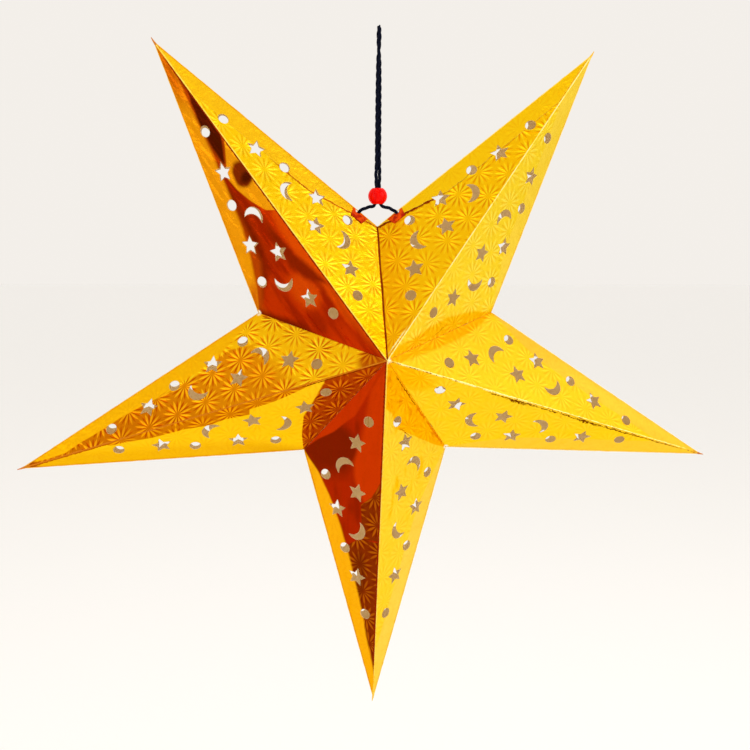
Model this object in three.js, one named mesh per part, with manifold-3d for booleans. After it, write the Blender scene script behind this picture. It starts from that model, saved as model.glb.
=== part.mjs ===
// A folding star of punched foil card, hung by a doubled cord that runs through a bead.
// Five hollow arms meet at a front and a back centre, and each arm has four flat panels
// between its creases. The star closes at the seam in the top notch, where each end of
// the cord passes through a taped hole in the outline crease and is knotted inside.
// Lengths are in millimetres. +Z is up, +X is to the right and the front faces -Y.
// The origin is inside the top of the cord's eye, where the star hangs.
import * as THREE from "three";
import { mergeVertices } from "three/addons/utils/BufferGeometryUtils.js";
import Module from "manifold-3d";

const wasm = await Module();
wasm.setup();

// The star's form.
const armCount = 5;
const tipSpan = 450;
const notchRadius = 80;
const halfDepth = 50;
const hangDrop = 204;

// The card and the clearances at its creases.
const cardThickness = 0.3;
const ridgeGap = 0.65;
const outlineGap = 0.65;
const valleyGap = 0.35;

// The punched shapes.
const dotRadius = 3.5;
const cutStarRadius = 6.4;
const cutStarWaist = 3.1;
const crescentRadius = 6.7;
const crescentBiteRadius = 7.5;
const crescentThickness = 4.6;

// The glue tabs that stand inside the star at its valleys and at the seam.
const tabWidth = 8;
const tabLift = 0.7;
const tabStartAtNotch = 6;
const tabTaperAtNotch = 13;
const tabStartAtCentre = 9;
const tabTaperAtCentre = 14;
const seamTabGap = 0.35;

// The cord's holes in the outline crease, and the tape round them.
const cordHoleFromNotch = 16;
const cordHoleRadius = 3.4;
const tapeLength = 12;
const tapeDepth = 6.4;
const tapeSlant = 1.6;
const tapeEdgeMargin = 0.9;
const tapeThickness = 0.2;
const tapeLift = 0.3;

// The cord, its knots and the bead.
const cordDiameter = 2.3;
const knotRadius = 3.8;
const knotCentre = new THREE.Vector3(17.6, 0, -120.7);
const beadRadius = 6.1;
const beadBoreRadius = 2.9;
const beadFlareRadius = 3.4;
const beadFlareDepth = 0.8;
const beadDrop = 104.4;

// How finely the round shapes are cut.
const dotSides = 10;
const crescentOuterSteps = 8;
const crescentInnerSteps = 5;
const holeArcSteps = 8;
const cordSides = 8;
const eyeSteps = 80;
const cordEndSteps = 16;
const knotSides = 10;
const beadSides = 24;
const beadArcSteps = 12;

// Where each shape is punched, as shares of a panel's ridge length and of its height
// above the ridge, and how far the shape is turned in the panel, in degrees.
const dotShares = [
  { along: 0.745, across: 0.148 },
  { along: 0.561, across: 0.436 },
  { along: 0.36, across: 0.713 },
  { along: 0.178, across: 0.193 },
];
const cutStarShares = [
  { along: 0.638, across: 0.271, turn: -27 },
  { along: 0.451, across: 0.551, turn: -38 },
  { along: 0.388, across: 0.305, turn: -26 },
  { along: 0.246, across: 0.331, turn: -30 },
];
const crescentShares = [
  { along: 0.506, across: 0.26, turn: -52 },
  { along: 0.314, across: 0.499, turn: 146 },
];
const crescentCentreShare = 0.45;

// The arms, by the number of arm steps from straight up, turning to the left.
// Each side of an arm ends at the notch whose steps are given.
const arms = [
  { name: "top_left", steps: 0.5, sides: { inner: 0, outer: 1 } },
  { name: "left", steps: 1.5, sides: { upper: 1, lower: 2 } },
  { name: "bottom", steps: 2.5, sides: { left: 2, right: 3 } },
  { name: "right", steps: -1.5, sides: { upper: -1, lower: -2 } },
  { name: "top_right", steps: -0.5, sides: { inner: 0, outer: -1 } },
];
const faces = [
  { name: "front", out: -1 },
  { name: "back", out: 1 },
];
const valleys = [
  { name: "upper_left", steps: 1 },
  { name: "lower_left", steps: 2 },
  { name: "lower_right", steps: -2 },
  { name: "upper_right", steps: -1 },
];
const hangSides = [
  { name: "left", sign: -1 },
  { name: "right", sign: 1 },
];

// The routes of the cord, for its right side. The eye runs up one strand, over and down.
const eyePoints = [
  [2.05, 0, -109.8],
  [1.62, 0, -109.1],
  [1.4, 0, -108],
  [1.35, 0, -105],
  [1.35, 0, -96],
  [1.35, 0, -60],
  [1.35, 0, -27],
  [0.95, 1.35, -19],
  [0.25, 2.8, -12],
  [0, 3.4, -6.2],
  [0, 2.5, -1.4],
  [0, 0, 1.15],
];
const cordEndPoints = [
  [2.25, 0, -110.12],
  [2.75, 0, -110.85],
  [3.9, 0, -111.7],
  [6, 0, -112.5],
  [9, 0, -113.2],
  [12.2, 0, -114.3],
  [14.1, 0, -116.4],
  [16, 0, -118.7],
  [17.7, 0, -120.9],
  [19.3, 0, -122.9],
  [20.7, 0, -124.7],
];

const foilGold = { color: 0xf2b51c, roughness: 0.28, metalness: 0.85 };
const innerPaper = { color: 0xcbb89a, roughness: 0.9, metalness: 0 };
const tapeRed = { color: 0xd9480f, roughness: 0.45, metalness: 0 };
const cordNavy = { color: 0x141a2b, roughness: 0.85, metalness: 0 };
const beadRed = { color: 0xd81616, roughness: 0.35, metalness: 0 };

const halfTurn = Math.PI;
const fullTurn = 2 * halfTurn;
const quarterTurn = halfTurn / 2;
const armStep = fullTurn / armCount;
const tipRadius = tipSpan / (2 * Math.sin(armStep));

// A point of the star's middle plane, by its radius and arm steps from straight up.
function planePoint(radius, steps) {
  const angle = quarterTurn + steps * armStep;
  return new THREE.Vector3(radius * Math.cos(angle), 0, radius * Math.sin(angle));
}

function faceCentre(face) {
  return new THREE.Vector3(0, face.out * halfDepth, 0);
}

// The part of a vector that is square to a unit direction, at unit length.
function squareTo(vector, direction) {
  const along = direction.clone().multiplyScalar(vector.dot(direction));
  return vector.clone().sub(along).normalize();
}

// A flat panel's own axes: x runs up the ridge, y across to the notch, z is their cross.
function panelAxes(armSteps, notchSteps, face) {
  const centre = faceCentre(face);
  const toTip = planePoint(tipRadius, armSteps).sub(centre);
  const toNotch = planePoint(notchRadius, notchSteps).sub(centre);
  const x = toTip.clone().normalize();
  const y = squareTo(toNotch, x);
  const z = new THREE.Vector3().crossVectors(x, y);
  return { centre, x, y, z, outward: z.y * face.out > 0, toTip, toNotch };
}

const flat = panelAxes(arms[0].steps, arms[0].sides.inner, faces[0]);
const ridgeLength = flat.toTip.length();
const panelHeight = flat.toNotch.dot(flat.y);
const cornerCentre = new THREE.Vector2(0, 0);
const cornerTip = new THREE.Vector2(ridgeLength, 0);
const cornerNotch = new THREE.Vector2(flat.toNotch.dot(flat.x), panelHeight);
const valleyLength = flat.toNotch.length();

// Unit directions of the outline crease in a flat panel: from the notch to the tip, and inwards.
const outlineAlong = cornerTip.clone().sub(cornerNotch).normalize();
const outlineInward = new THREE.Vector2(outlineAlong.y, -outlineAlong.x);
const holeCentre = cornerNotch.clone().addScaledVector(outlineAlong, cordHoleFromNotch);

// A point beside the outline crease, by its distance from the notch and its depth.
function besideOutline(fromNotch, depth) {
  return cornerNotch
    .clone()
    .addScaledVector(outlineAlong, fromNotch)
    .addScaledVector(outlineInward, depth);
}

// The corners of a polygon whose edges are moved inwards, each by its own gap.
function insetCorners(corners, gaps) {
  const lines = corners.map((corner, i) => {
    const direction = corners[(i + 1) % corners.length].clone().sub(corner).normalize();
    const inward = new THREE.Vector2(-direction.y, direction.x);
    return { point: corner.clone().addScaledVector(inward, gaps[i]), direction };
  });
  return lines.map((line, i) => {
    const before = lines[(i + lines.length - 1) % lines.length];
    const between = line.point.clone().sub(before.point);
    const reach = between.cross(line.direction) / before.direction.cross(line.direction);
    return before.point.clone().addScaledVector(before.direction, reach);
  });
}

// The cord's half round hole, from its tip side to its notch side, at a depth from the crease.
function holeArc(depth) {
  const first = Math.asin(depth / cordHoleRadius);
  const points = [];
  for (let i = 0; i <= holeArcSteps; i++) {
    const angle = first + ((halfTurn - 2 * first) * i) / holeArcSteps;
    points.push(
      holeCentre
        .clone()
        .addScaledVector(outlineAlong, cordHoleRadius * Math.cos(angle))
        .addScaledVector(outlineInward, cordHoleRadius * Math.sin(angle)),
    );
  }
  return points;
}

function dotOutline() {
  const points = [];
  for (let i = 0; i < dotSides; i++) {
    const angle = (fullTurn * i) / dotSides;
    points.push(new THREE.Vector2(dotRadius * Math.cos(angle), dotRadius * Math.sin(angle)));
  }
  return points;
}

function cutStarOutline() {
  const points = [];
  const corners = 2 * armCount;
  for (let i = 0; i < corners; i++) {
    const radius = i % 2 === 0 ? cutStarRadius : cutStarWaist;
    const angle = (fullTurn * i) / corners;
    points.push(new THREE.Vector2(radius * Math.cos(angle), radius * Math.sin(angle)));
  }
  return points;
}

// A round outline less a round bite from its left: the horns point left.
function crescentOutline() {
  const biteShift = crescentThickness - crescentRadius + crescentBiteRadius;
  const squares = crescentRadius ** 2 - crescentBiteRadius ** 2 + biteShift ** 2;
  const hornBack = squares / (2 * biteShift);
  const hornSide = Math.sqrt(crescentRadius ** 2 - hornBack ** 2);
  const outerHalf = Math.atan2(hornSide, -hornBack);
  const innerHalf = Math.atan2(hornSide, biteShift - hornBack);
  const middle = crescentCentreShare * crescentRadius;
  const points = [];
  for (let i = 0; i <= crescentOuterSteps; i++) {
    const angle = outerHalf * ((2 * i) / crescentOuterSteps - 1);
    const x = crescentRadius * Math.cos(angle) - middle;
    points.push(new THREE.Vector2(x, crescentRadius * Math.sin(angle)));
  }
  for (let i = 1; i < crescentInnerSteps; i++) {
    const angle = innerHalf * (1 - (2 * i) / crescentInnerSteps);
    const x = crescentBiteRadius * Math.cos(angle) - biteShift - middle;
    points.push(new THREE.Vector2(x, crescentBiteRadius * Math.sin(angle)));
  }
  return points;
}

// One punched hole: the outline, turned and moved to its place on the panel.
function punch(outline, place) {
  const turn = THREE.MathUtils.degToRad(place.turn ?? 0);
  const at = new THREE.Vector2(place.along * ridgeLength, place.across * panelHeight);
  const points = outline.map((p) => p.clone().rotateAround(cornerCentre, turn).add(at));
  return new THREE.Path(points);
}

// A flat panel's outline, with or without the cord's hole in its outline crease.
function panelShape(hasCordHole) {
  const corners = [cornerCentre, cornerTip, cornerNotch];
  const [centre, tip, notch] = insetCorners(corners, [ridgeGap, outlineGap, valleyGap]);
  const hole = hasCordHole ? holeArc(outlineGap) : [];
  const shape = new THREE.Shape([centre, tip, ...hole, notch]);
  for (const place of dotShares) shape.holes.push(punch(dotOutline(), place));
  for (const place of cutStarShares) shape.holes.push(punch(cutStarOutline(), place));
  for (const place of crescentShares) shape.holes.push(punch(crescentOutline(), place));
  return shape;
}

function plate(shape, thickness) {
  return new THREE.ExtrudeGeometry(shape, { depth: thickness, bevelEnabled: false });
}

// A named mesh whose own axes point along the three given directions.
function placed(name, geometry, finish, axes, position) {
  const mesh = new THREE.Mesh(geometry, new THREE.MeshStandardMaterial(finish));
  mesh.name = name;
  const turned = new THREE.Matrix4().makeBasis(axes.x, axes.y, axes.z);
  mesh.quaternion.setFromRotationMatrix(turned);
  mesh.position.copy(position);
  return mesh;
}

// A panel's outer surface lies in the plane of its creases, and its thickness goes inwards.
function panelMesh(arm, sideName, face) {
  const notchSteps = arm.sides[sideName];
  const axes = panelAxes(arm.steps, notchSteps, face);
  const geometry = plate(panelShape(notchSteps === 0), cardThickness);
  geometry.translate(0, 0, axes.outward ? -cardThickness : 0);
  const name = [arm.name, face.name, sideName].join("_");
  return placed(name, geometry, foilGold, axes, axes.centre);
}

// The tape on one panel: a strip along the outline crease, cut round the cord's hole.
function tapeMesh(side, face) {
  const arm = side.sign < 0 ? arms[0] : arms[arms.length - 1];
  const axes = panelAxes(arm.steps, arm.sides.inner, face);
  const start = cordHoleFromNotch - tapeLength / 2;
  const end = cordHoleFromNotch + tapeLength / 2;
  const points = [
    besideOutline(start, tapeEdgeMargin),
    besideOutline(start + tapeSlant, tapeDepth),
    besideOutline(end - tapeSlant, tapeDepth),
    besideOutline(end, tapeEdgeMargin),
    ...holeArc(tapeEdgeMargin),
  ];
  const geometry = plate(new THREE.Shape(points), tapeThickness);
  geometry.translate(0, 0, axes.outward ? tapeLift : -tapeLift - tapeThickness);
  const name = ["tape", side.name, face.name].join("_");
  return placed(name, geometry, tapeRed, axes, axes.centre);
}

// The outline of a glue tab: x runs from the notch to the centre, y goes into the star.
function tabShape() {
  const deep = tabLift + tabWidth;
  return new THREE.Shape([
    new THREE.Vector2(tabStartAtNotch, tabLift),
    new THREE.Vector2(valleyLength - tabStartAtCentre, tabLift),
    new THREE.Vector2(valleyLength - tabStartAtCentre - tabTaperAtCentre, deep),
    new THREE.Vector2(tabStartAtNotch + tabTaperAtNotch, deep),
  ]);
}

// The axes of a tab under the crease from a notch to a face's centre.
function tabAxes(notchSteps, face) {
  const notch = planePoint(notchRadius, notchSteps);
  const x = faceCentre(face).sub(notch).normalize();
  const y = squareTo(notch.clone().negate(), x);
  const z = new THREE.Vector3().crossVectors(x, y);
  return { notch, x, y, z };
}

// Two arms' tabs glued face to face under a valley crease.
function valleyTabMesh(valley, face) {
  const axes = tabAxes(valley.steps, face);
  const geometry = plate(tabShape(), 2 * cardThickness);
  geometry.translate(0, 0, -cardThickness);
  const name = ["tab", valley.name, face.name].join("_");
  return placed(name, geometry, innerPaper, axes, axes.notch);
}

// One arm's own tab at the open seam.
function seamTabMesh(side, face) {
  const axes = tabAxes(0, face);
  const geometry = plate(tabShape(), cardThickness);
  const towardsArm = axes.z.x * side.sign > 0;
  geometry.translate(0, 0, towardsArm ? seamTabGap : -seamTabGap - cardThickness);
  const name = ["tab", "seam", side.name, face.name].join("_");
  return placed(name, geometry, innerPaper, axes, axes.notch);
}

function vectors(points, sign) {
  return points.map(([x, y, z]) => new THREE.Vector3(sign * x, sign * y, z));
}

// A round cord along a smooth curve through its points.
function cordTube(points, steps) {
  const section = [];
  for (let i = 0; i < cordSides; i++) {
    const angle = (fullTurn * i) / cordSides;
    section.push(
      new THREE.Vector2(Math.cos(angle), Math.sin(angle)).multiplyScalar(cordDiameter / 2),
    );
  }
  const path = new THREE.CatmullRomCurve3(points);
  const settings = { extrudePath: path, steps, bevelEnabled: false };
  return new THREE.ExtrudeGeometry(new THREE.Shape(section), settings);
}

function toSolid(geometry) {
  const bare = new THREE.BufferGeometry();
  bare.setAttribute("position", geometry.getAttribute("position"));
  bare.setIndex(geometry.getIndex());
  const merged = mergeVertices(bare);
  return new wasm.Manifold(
    new wasm.Mesh({
      numProp: 3,
      vertProperties: merged.getAttribute("position").array,
      triVerts: new Uint32Array(merged.getIndex().array),
    }),
  );
}

function toGeometry(solid) {
  const mesh = solid.getMesh();
  const geometry = new THREE.BufferGeometry();
  geometry.setAttribute("position", new THREE.BufferAttribute(mesh.vertProperties, 3));
  geometry.setIndex(new THREE.BufferAttribute(mesh.triVerts, 1));
  geometry.computeVertexNormals();
  return geometry;
}

function cordMesh(name, geometry) {
  const mesh = new THREE.Mesh(geometry, new THREE.MeshStandardMaterial(cordNavy));
  mesh.name = name;
  return mesh;
}

// The doubled cord above and inside the bead, in one piece round its eye.
function cordEyeMesh() {
  const up = vectors(eyePoints, 1);
  const down = vectors(eyePoints.slice(0, -1), -1).reverse();
  return cordMesh("cord_eye", cordTube([...up, ...down], eyeSteps));
}

// One end of the cord: from under the bead into the crease's hole, knotted behind it.
function cordEndMesh(side) {
  const tube = toSolid(cordTube(vectors(cordEndPoints, side.sign), cordEndSteps));
  const ball = new THREE.SphereGeometry(knotRadius, knotSides, knotSides);
  ball.translate(side.sign * knotCentre.x, knotCentre.y, knotCentre.z);
  const knotted = tube.add(toSolid(ball));
  return cordMesh(["cord_end", side.name].join("_"), toGeometry(knotted));
}

// A round bead with a bore that flares at both ends.
function beadMesh() {
  const rimAngle = Math.acos(beadFlareRadius / beadRadius);
  const rimHeight = beadRadius * Math.sin(rimAngle);
  const profile = [new THREE.Vector2(beadBoreRadius, beadFlareDepth - rimHeight)];
  for (let i = 0; i <= beadArcSteps; i++) {
    const angle = rimAngle * ((2 * i) / beadArcSteps - 1);
    profile.push(new THREE.Vector2(Math.cos(angle), Math.sin(angle)).multiplyScalar(beadRadius));
  }
  profile.push(new THREE.Vector2(beadBoreRadius, rimHeight - beadFlareDepth));
  profile.push(profile[0].clone());
  const geometry = new THREE.LatheGeometry(profile, beadSides);
  geometry.rotateX(quarterTurn);
  const mesh = new THREE.Mesh(geometry, new THREE.MeshStandardMaterial(beadRed));
  mesh.name = "bead";
  mesh.position.z = -beadDrop;
  return mesh;
}

const star = new THREE.Group();
star.position.z = -hangDrop;
for (const face of faces) {
  for (const arm of arms) {
    for (const sideName of Object.keys(arm.sides)) star.add(panelMesh(arm, sideName, face));
  }
  for (const valley of valleys) star.add(valleyTabMesh(valley, face));
  for (const side of hangSides) {
    star.add(seamTabMesh(side, face));
    star.add(tapeMesh(side, face));
  }
}

const lantern = new THREE.Group();
lantern.add(star, cordEyeMesh(), beadMesh());
for (const side of hangSides) lantern.add(cordEndMesh(side));

export default lantern;
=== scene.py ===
# %% [markdown]
# # A folding star of punched gold foil card
# The real star is five paper cones, each cut from one sheet of foil card, folded into
# four flat panels and glued to its neighbours by tabs inside. It hangs by a doubled
# cord that runs through a bead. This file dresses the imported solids: it loads them as
# a fixed frame, then makes a finer piece for each one that shows.

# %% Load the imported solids
import math
import random

import bpy
from mathutils import Matrix, Vector


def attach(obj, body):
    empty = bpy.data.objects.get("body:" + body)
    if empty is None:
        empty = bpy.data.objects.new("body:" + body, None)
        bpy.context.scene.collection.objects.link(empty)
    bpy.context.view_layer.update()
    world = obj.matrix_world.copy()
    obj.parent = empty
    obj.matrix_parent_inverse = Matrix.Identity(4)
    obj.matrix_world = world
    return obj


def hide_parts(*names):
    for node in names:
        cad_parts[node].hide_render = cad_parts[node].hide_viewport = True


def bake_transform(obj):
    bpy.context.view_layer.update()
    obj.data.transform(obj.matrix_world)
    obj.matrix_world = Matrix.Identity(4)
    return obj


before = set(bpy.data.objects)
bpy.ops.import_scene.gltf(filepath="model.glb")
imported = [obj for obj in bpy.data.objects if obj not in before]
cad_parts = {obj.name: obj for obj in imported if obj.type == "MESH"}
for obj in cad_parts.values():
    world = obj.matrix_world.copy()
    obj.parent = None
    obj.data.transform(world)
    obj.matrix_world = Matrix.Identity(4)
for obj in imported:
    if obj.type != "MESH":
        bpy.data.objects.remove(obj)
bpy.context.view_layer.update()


def in_mm(*lengths):
    return [round(length * 1000, 1) for length in lengths]


# %% [markdown]
# ## The camera
# The photograph was taken from a little to the left of the star and a little above its
# middle. The picture is square, so the lens alone sets the field of view, and a small
# shift puts the star's centre where it sits in the picture. The star's middle hangs
# straight below the frame's origin, which is the point that the cord hangs from.

# %% Place the camera
star_drop = 0.204
star_middle = Vector((0, 0, -star_drop))
camera_distance = 0.7
camera_azimuth = math.radians(-7.784)
camera_height = math.radians(6.988)
camera_roll = math.radians(0.507)
sensor_mm, lens_mm = 36, 51.55
shift_right, shift_up = -0.0017, -0.0327
towards_camera = Vector((
    math.sin(camera_azimuth) * math.cos(camera_height),
    -math.cos(camera_azimuth) * math.cos(camera_height),
    math.sin(camera_height),
))
bpy.ops.object.select_all(action="DESELECT")
bpy.ops.object.camera_add(location=star_middle + towards_camera * camera_distance)
camera = bpy.context.object
camera.name = "photo_camera"
facing = (-towards_camera).to_track_quat("-Z", "Y").to_matrix()
camera.rotation_euler = (facing @ Matrix.Rotation(camera_roll, 3, "Z")).to_euler()
camera.data.sensor_width = sensor_mm
camera.data.lens = lens_mm
camera.data.shift_x = shift_right
camera.data.shift_y = shift_up
camera.data.clip_start = 0.01
camera.data.clip_end = 50
bpy.context.scene.camera = camera
bpy.context.scene.view_settings.view_transform = "Standard"
print("camera at mm", in_mm(*camera.location))

# %% [markdown]
# ## Helpers for modelling by operator
# An operator works on what is selected and active, so each step first deselects
# everything. Vertices, edges and faces are picked in code by their place, which is what
# a person does with a box select, and the change itself is then made in edit mode.

# %% Helpers: naming, picking and applying
def deselect_all():
    bpy.ops.object.select_all(action="DESELECT")


def name_piece(name):
    piece = bpy.context.object
    piece.name = name
    piece.data.name = name
    return piece


def make_active(piece):
    deselect_all()
    piece.select_set(True)
    bpy.context.view_layer.objects.active = piece


def edit(piece, select="ALL"):
    make_active(piece)
    bpy.ops.object.mode_set(mode="EDIT")
    bpy.ops.mesh.select_all(action="SELECT" if select == "ALL" else "DESELECT")


def done():
    bpy.ops.object.mode_set(mode="OBJECT")


def pick(piece, kind, test):
    """Goes into edit mode with only those vertices, edges or faces selected that pass."""
    edit(piece, select="NONE")
    bpy.ops.mesh.select_mode(type=kind)
    done()
    parts = {"VERT": piece.data.vertices, "EDGE": piece.data.edges, "FACE": piece.data.polygons}
    for part in parts[kind]:
        part.select = bool(test(part))
    bpy.ops.object.mode_set(mode="EDIT")


def pick_vertices(piece, test):
    pick(piece, "VERT", lambda vertex: test(vertex.co))


def edge_ends(piece, mesh_edge):
    return [piece.data.vertices[v].co for v in mesh_edge.vertices]


def trim(piece, place, normal):
    """Cuts the piece along a plane and drops the part on the side that the normal points to."""
    edit(piece)
    bpy.ops.mesh.bisect(plane_co=place, plane_no=normal, clear_outer=True)
    done()


def apply_place(piece):
    make_active(piece)
    bpy.ops.object.transform_apply(location=True, rotation=True, scale=True)


def apply_modifier(piece, kind, **settings):
    make_active(piece)
    bpy.ops.object.modifier_add(type=kind)
    modifier = piece.modifiers[-1]
    for key, value in settings.items():
        setattr(modifier, key, value)
    bpy.ops.object.modifier_apply(modifier=modifier.name)


def copy_piece(piece, name):
    make_active(piece)
    bpy.ops.object.duplicate(linked=False)
    return name_piece(name)


def remove_piece(piece):
    make_active(piece)
    bpy.ops.object.delete()


def smooth(piece, degrees=30):
    make_active(piece)
    bpy.ops.object.shade_smooth_by_angle(angle=math.radians(degrees))


def facing_out(piece):
    edit(piece)
    bpy.ops.mesh.remove_doubles(threshold=1e-6)
    bpy.ops.mesh.normals_make_consistent(inside=False)
    done()


# %% [markdown]
# ## The cord's route
# The cord is one length, doubled over. Its eye at the top is as wide as the finger or
# hook that goes through it, and lies across the star, so from the front the two strands
# hide each other there. Lower down they lie side by side and run through the bead. The
# points are the same ones that the solids follow.

# %% Set down the cord's route
def to_metres(points, side=1):
    return [Vector((side * x, side * y, z)) / 1000 for x, y, z in points]


strand_route = [
    (2.05, 0, -109.8),
    (1.62, 0, -109.1),
    (1.38, 0.1, -108),
    (1.18, 0.25, -105),
    (0.98, 0.4, -98),
    (1.2, 0.3, -90.5),
    (0.98, 0.42, -84),
    (0.96, 0.45, -70),
    (0.95, 0.5, -58),
    (0.92, 0.55, -46),
    (0.88, 0.75, -36),
    (0.8, 1.0, -27),
    (0.7, 1.5, -19),
    (0.25, 2.8, -12),
    (0, 3.4, -6.2),
    (0, 2.5, -1.4),
    (0, 0, 1.15),
]
leg_route = [
    (1.95, 0, -109.6),
    (2.25, 0, -110.15),
    (2.75, 0, -110.7),
    (3.6, 0, -111.05),
    (5.0, 0, -111.3),
    (7.0, 0, -111.8),
    (9.4, 0, -112.8),
    (11.8, 0, -114.3),
    (13.0, 0, -116.6),
    (13.4, 0, -119),
    (13.1, 0, -121.5),
    (12.6, 0, -124.2),
    (12.1, 0, -126.4),
]
print("route points", len(strand_route), "and", len(leg_route))

# %% [markdown]
# ## A smooth line through the points
# The points are far apart, and straight runs between them would show as kinks. So each
# stretch is curved with a view to the points before and after it, the way a cord that
# bears its own weight runs. The curve is then walked in even steps, so that the plies
# turn evenly along it.

# %% Draw the strands' lines
def smooth_route(points, spacing):
    """Points at even steps along a smooth curve through the given ones."""
    padded = [points[0] * 2 - points[1], *points, points[-1] * 2 - points[-2]]
    steps_between = 24
    fine = []
    for before, start, end, after in zip(padded, padded[1:], padded[2:], padded[3:]):
        knots = [0.0]
        for a, b in ((before, start), (start, end), (end, after)):
            knots.append(knots[-1] + math.sqrt((b - a).length))
        for step in range(steps_between):
            t = knots[1] + (knots[2] - knots[1]) * step / steps_between
            level = [before, start, end, after]
            for reach in (1, 2):
                level = [
                    level[i] * ((knots[i + reach] - t) / (knots[i + reach] - knots[i]))
                    + level[i + 1] * ((t - knots[i]) / (knots[i + reach] - knots[i]))
                    for i in range(len(level) - 1)
                ]
            share = (t - knots[1]) / (knots[2] - knots[1])
            fine.append(level[0] * (1 - share) + level[1] * share)
    fine.append(points[-1].copy())
    lengths = [0.0]
    for a, b in zip(fine, fine[1:]):
        lengths.append(lengths[-1] + (b - a).length)
    count = max(4, round(lengths[-1] / spacing))
    even, i = [], 0
    for step in range(count + 1):
        want = lengths[-1] * step / count
        while i < len(fine) - 2 and lengths[i + 1] < want:
            i += 1
        share = (want - lengths[i]) / (lengths[i + 1] - lengths[i])
        even.append(fine[i].lerp(fine[i + 1], min(1, share)))
    return even


def route_length(points):
    return sum((b - a).length for a, b in zip(points, points[1:]))


route_step = 0.0004
eye_points = to_metres(strand_route) + to_metres(strand_route[:-1], side=-1)[::-1]
eye_line = smooth_route(eye_points, route_step)
right_leg_line = smooth_route(to_metres(leg_route), route_step)
leg_lines = {
    "right": right_leg_line,
    "left": [Vector((-p.x, -p.y, p.z)) for p in right_leg_line],
}
print("eye and leg mm", in_mm(route_length(eye_line), route_length(right_leg_line)))

# %% [markdown]
# ## The cord's lay
# Three plies of navy yarn are laid round each other, which gives the lumpy edge that the
# strands show. A ply could be a curve with a round bevel. Here each is swept by hand:
# a ring of points is carried along the line while the frame that it sits in turns
# steadily, so that the plies cross the strand at the right pitch and the fine threads
# of the yarn can follow the same turn in the material.

# %% Carry a turning frame along a line
cord_diameter = 0.0023
plies = 3
ply_sides = 10
lay_pitch = 0.01552
ply_radius = cord_diameter * 0.245
ply_offset = cord_diameter * 0.275
end_taper = {0: 0.55, 1: 0.9}
lay_map_scale = 100


def carried_frames(line):
    """A side direction for each point of a line, carried along it without twisting."""
    frames = []
    side = None
    for i, point in enumerate(line):
        ahead = line[min(i + 1, len(line) - 1)] - line[max(i - 1, 0)]
        ahead.normalize()
        if side is None:
            side = Vector((0, 1, 0)) if abs(ahead.y) < 0.9 else Vector((1, 0, 0))
        side = (side - ahead * side.dot(ahead)).normalized()
        frames.append((point, side.copy(), ahead.cross(side)))
    return frames


def sweep_ply(frames, ply, turn):
    """The points of one ply, ring by ring, each with its distance along and share round."""
    places, along = [], []
    walked = 0.0
    for i, (point, side, across) in enumerate(frames):
        if i:
            walked += (point - frames[i - 1][0]).length
        angle = 2 * math.pi * (turn * walked / lay_pitch + ply / plies)
        axis = math.cos(angle) * side + math.sin(angle) * across
        other = -math.sin(angle) * side + math.cos(angle) * across
        radius = ply_radius * end_taper.get(min(i, len(frames) - 1 - i), 1)
        for j in range(ply_sides):
            round_angle = 2 * math.pi * j / ply_sides
            out = math.cos(round_angle) * axis + math.sin(round_angle) * other
            places.append(point + axis * ply_offset + out * radius)
            along.append((walked, j / ply_sides))
    return places, along


print("a ply is thick by mm", in_mm(2 * ply_radius))

# %% [markdown]
# ## From rings to a mesh
# Each ring of points is joined to the next by a band of four-cornered faces, and both
# ends are closed. A map named lay keeps how far along the cord and how far round the
# ply each point is, since the fine threads of the yarn are drawn on it later.

# %% Sweep the doubled cord and its legs
def sweep_cord(name, line, turn=1):
    frames = carried_frames(line)
    vertices, faces, along = [], [], []
    for ply in range(plies):
        first = len(vertices)
        places, shares_along = sweep_ply(frames, ply, turn)
        vertices += places
        along += shares_along
        for ring in range(first, len(vertices) - ply_sides, ply_sides):
            for j in range(ply_sides):
                a, b = ring + j, ring + (j + 1) % ply_sides
                faces.append((a, b, b + ply_sides, a + ply_sides))
        faces.append(tuple(first + j for j in reversed(range(ply_sides))))
        faces.append(tuple(len(vertices) - ply_sides + j for j in range(ply_sides)))
    mesh = bpy.data.meshes.new(name)
    mesh.from_pydata(vertices, [], faces)
    lay = mesh.uv_layers.new(name="lay")
    for polygon in mesh.polygons:
        shares = [along[v][1] for v in polygon.vertices]
        wraps = max(shares) - min(shares) > 0.5
        for loop, vertex in zip(polygon.loop_indices, polygon.vertices):
            walked, share = along[vertex]
            round_share = share + 1 if wraps and share < 0.5 else share
            lay.data[loop].uv = (walked * lay_map_scale, round_share)
    piece = bpy.data.objects.new(name, mesh)
    bpy.context.scene.collection.objects.link(piece)
    facing_out(piece)
    smooth(piece, 50)
    return piece


cord_eye = sweep_cord("cord_doubled", eye_line)
cord_legs = {side: sweep_cord("cord_leg_" + side, line, turn=-1)
             for side, line in leg_lines.items()}
print("cord faces", [len(piece.data.polygons) for piece in (cord_eye, *cord_legs.values())])

# %% [markdown]
# ## The knots
# Each end is tied in an overhand knot, too big for its hole. A trefoil is the line that
# a cord takes in such a knot, so the strand is swept along one, pulled down tight. The
# line is left open by a little at the start and the end, where the cord comes in and
# its cut end shows.

# %% Tie a knot on each end
knot_centre = Vector((0.0131, 0, -0.1214))
knot_radius = 0.0038
knot_steps = 90
knot_opening = 0.02
trefoil_width, trefoil_swing = 0.36, 0.62
trefoil_reach = 3 * trefoil_width


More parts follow.
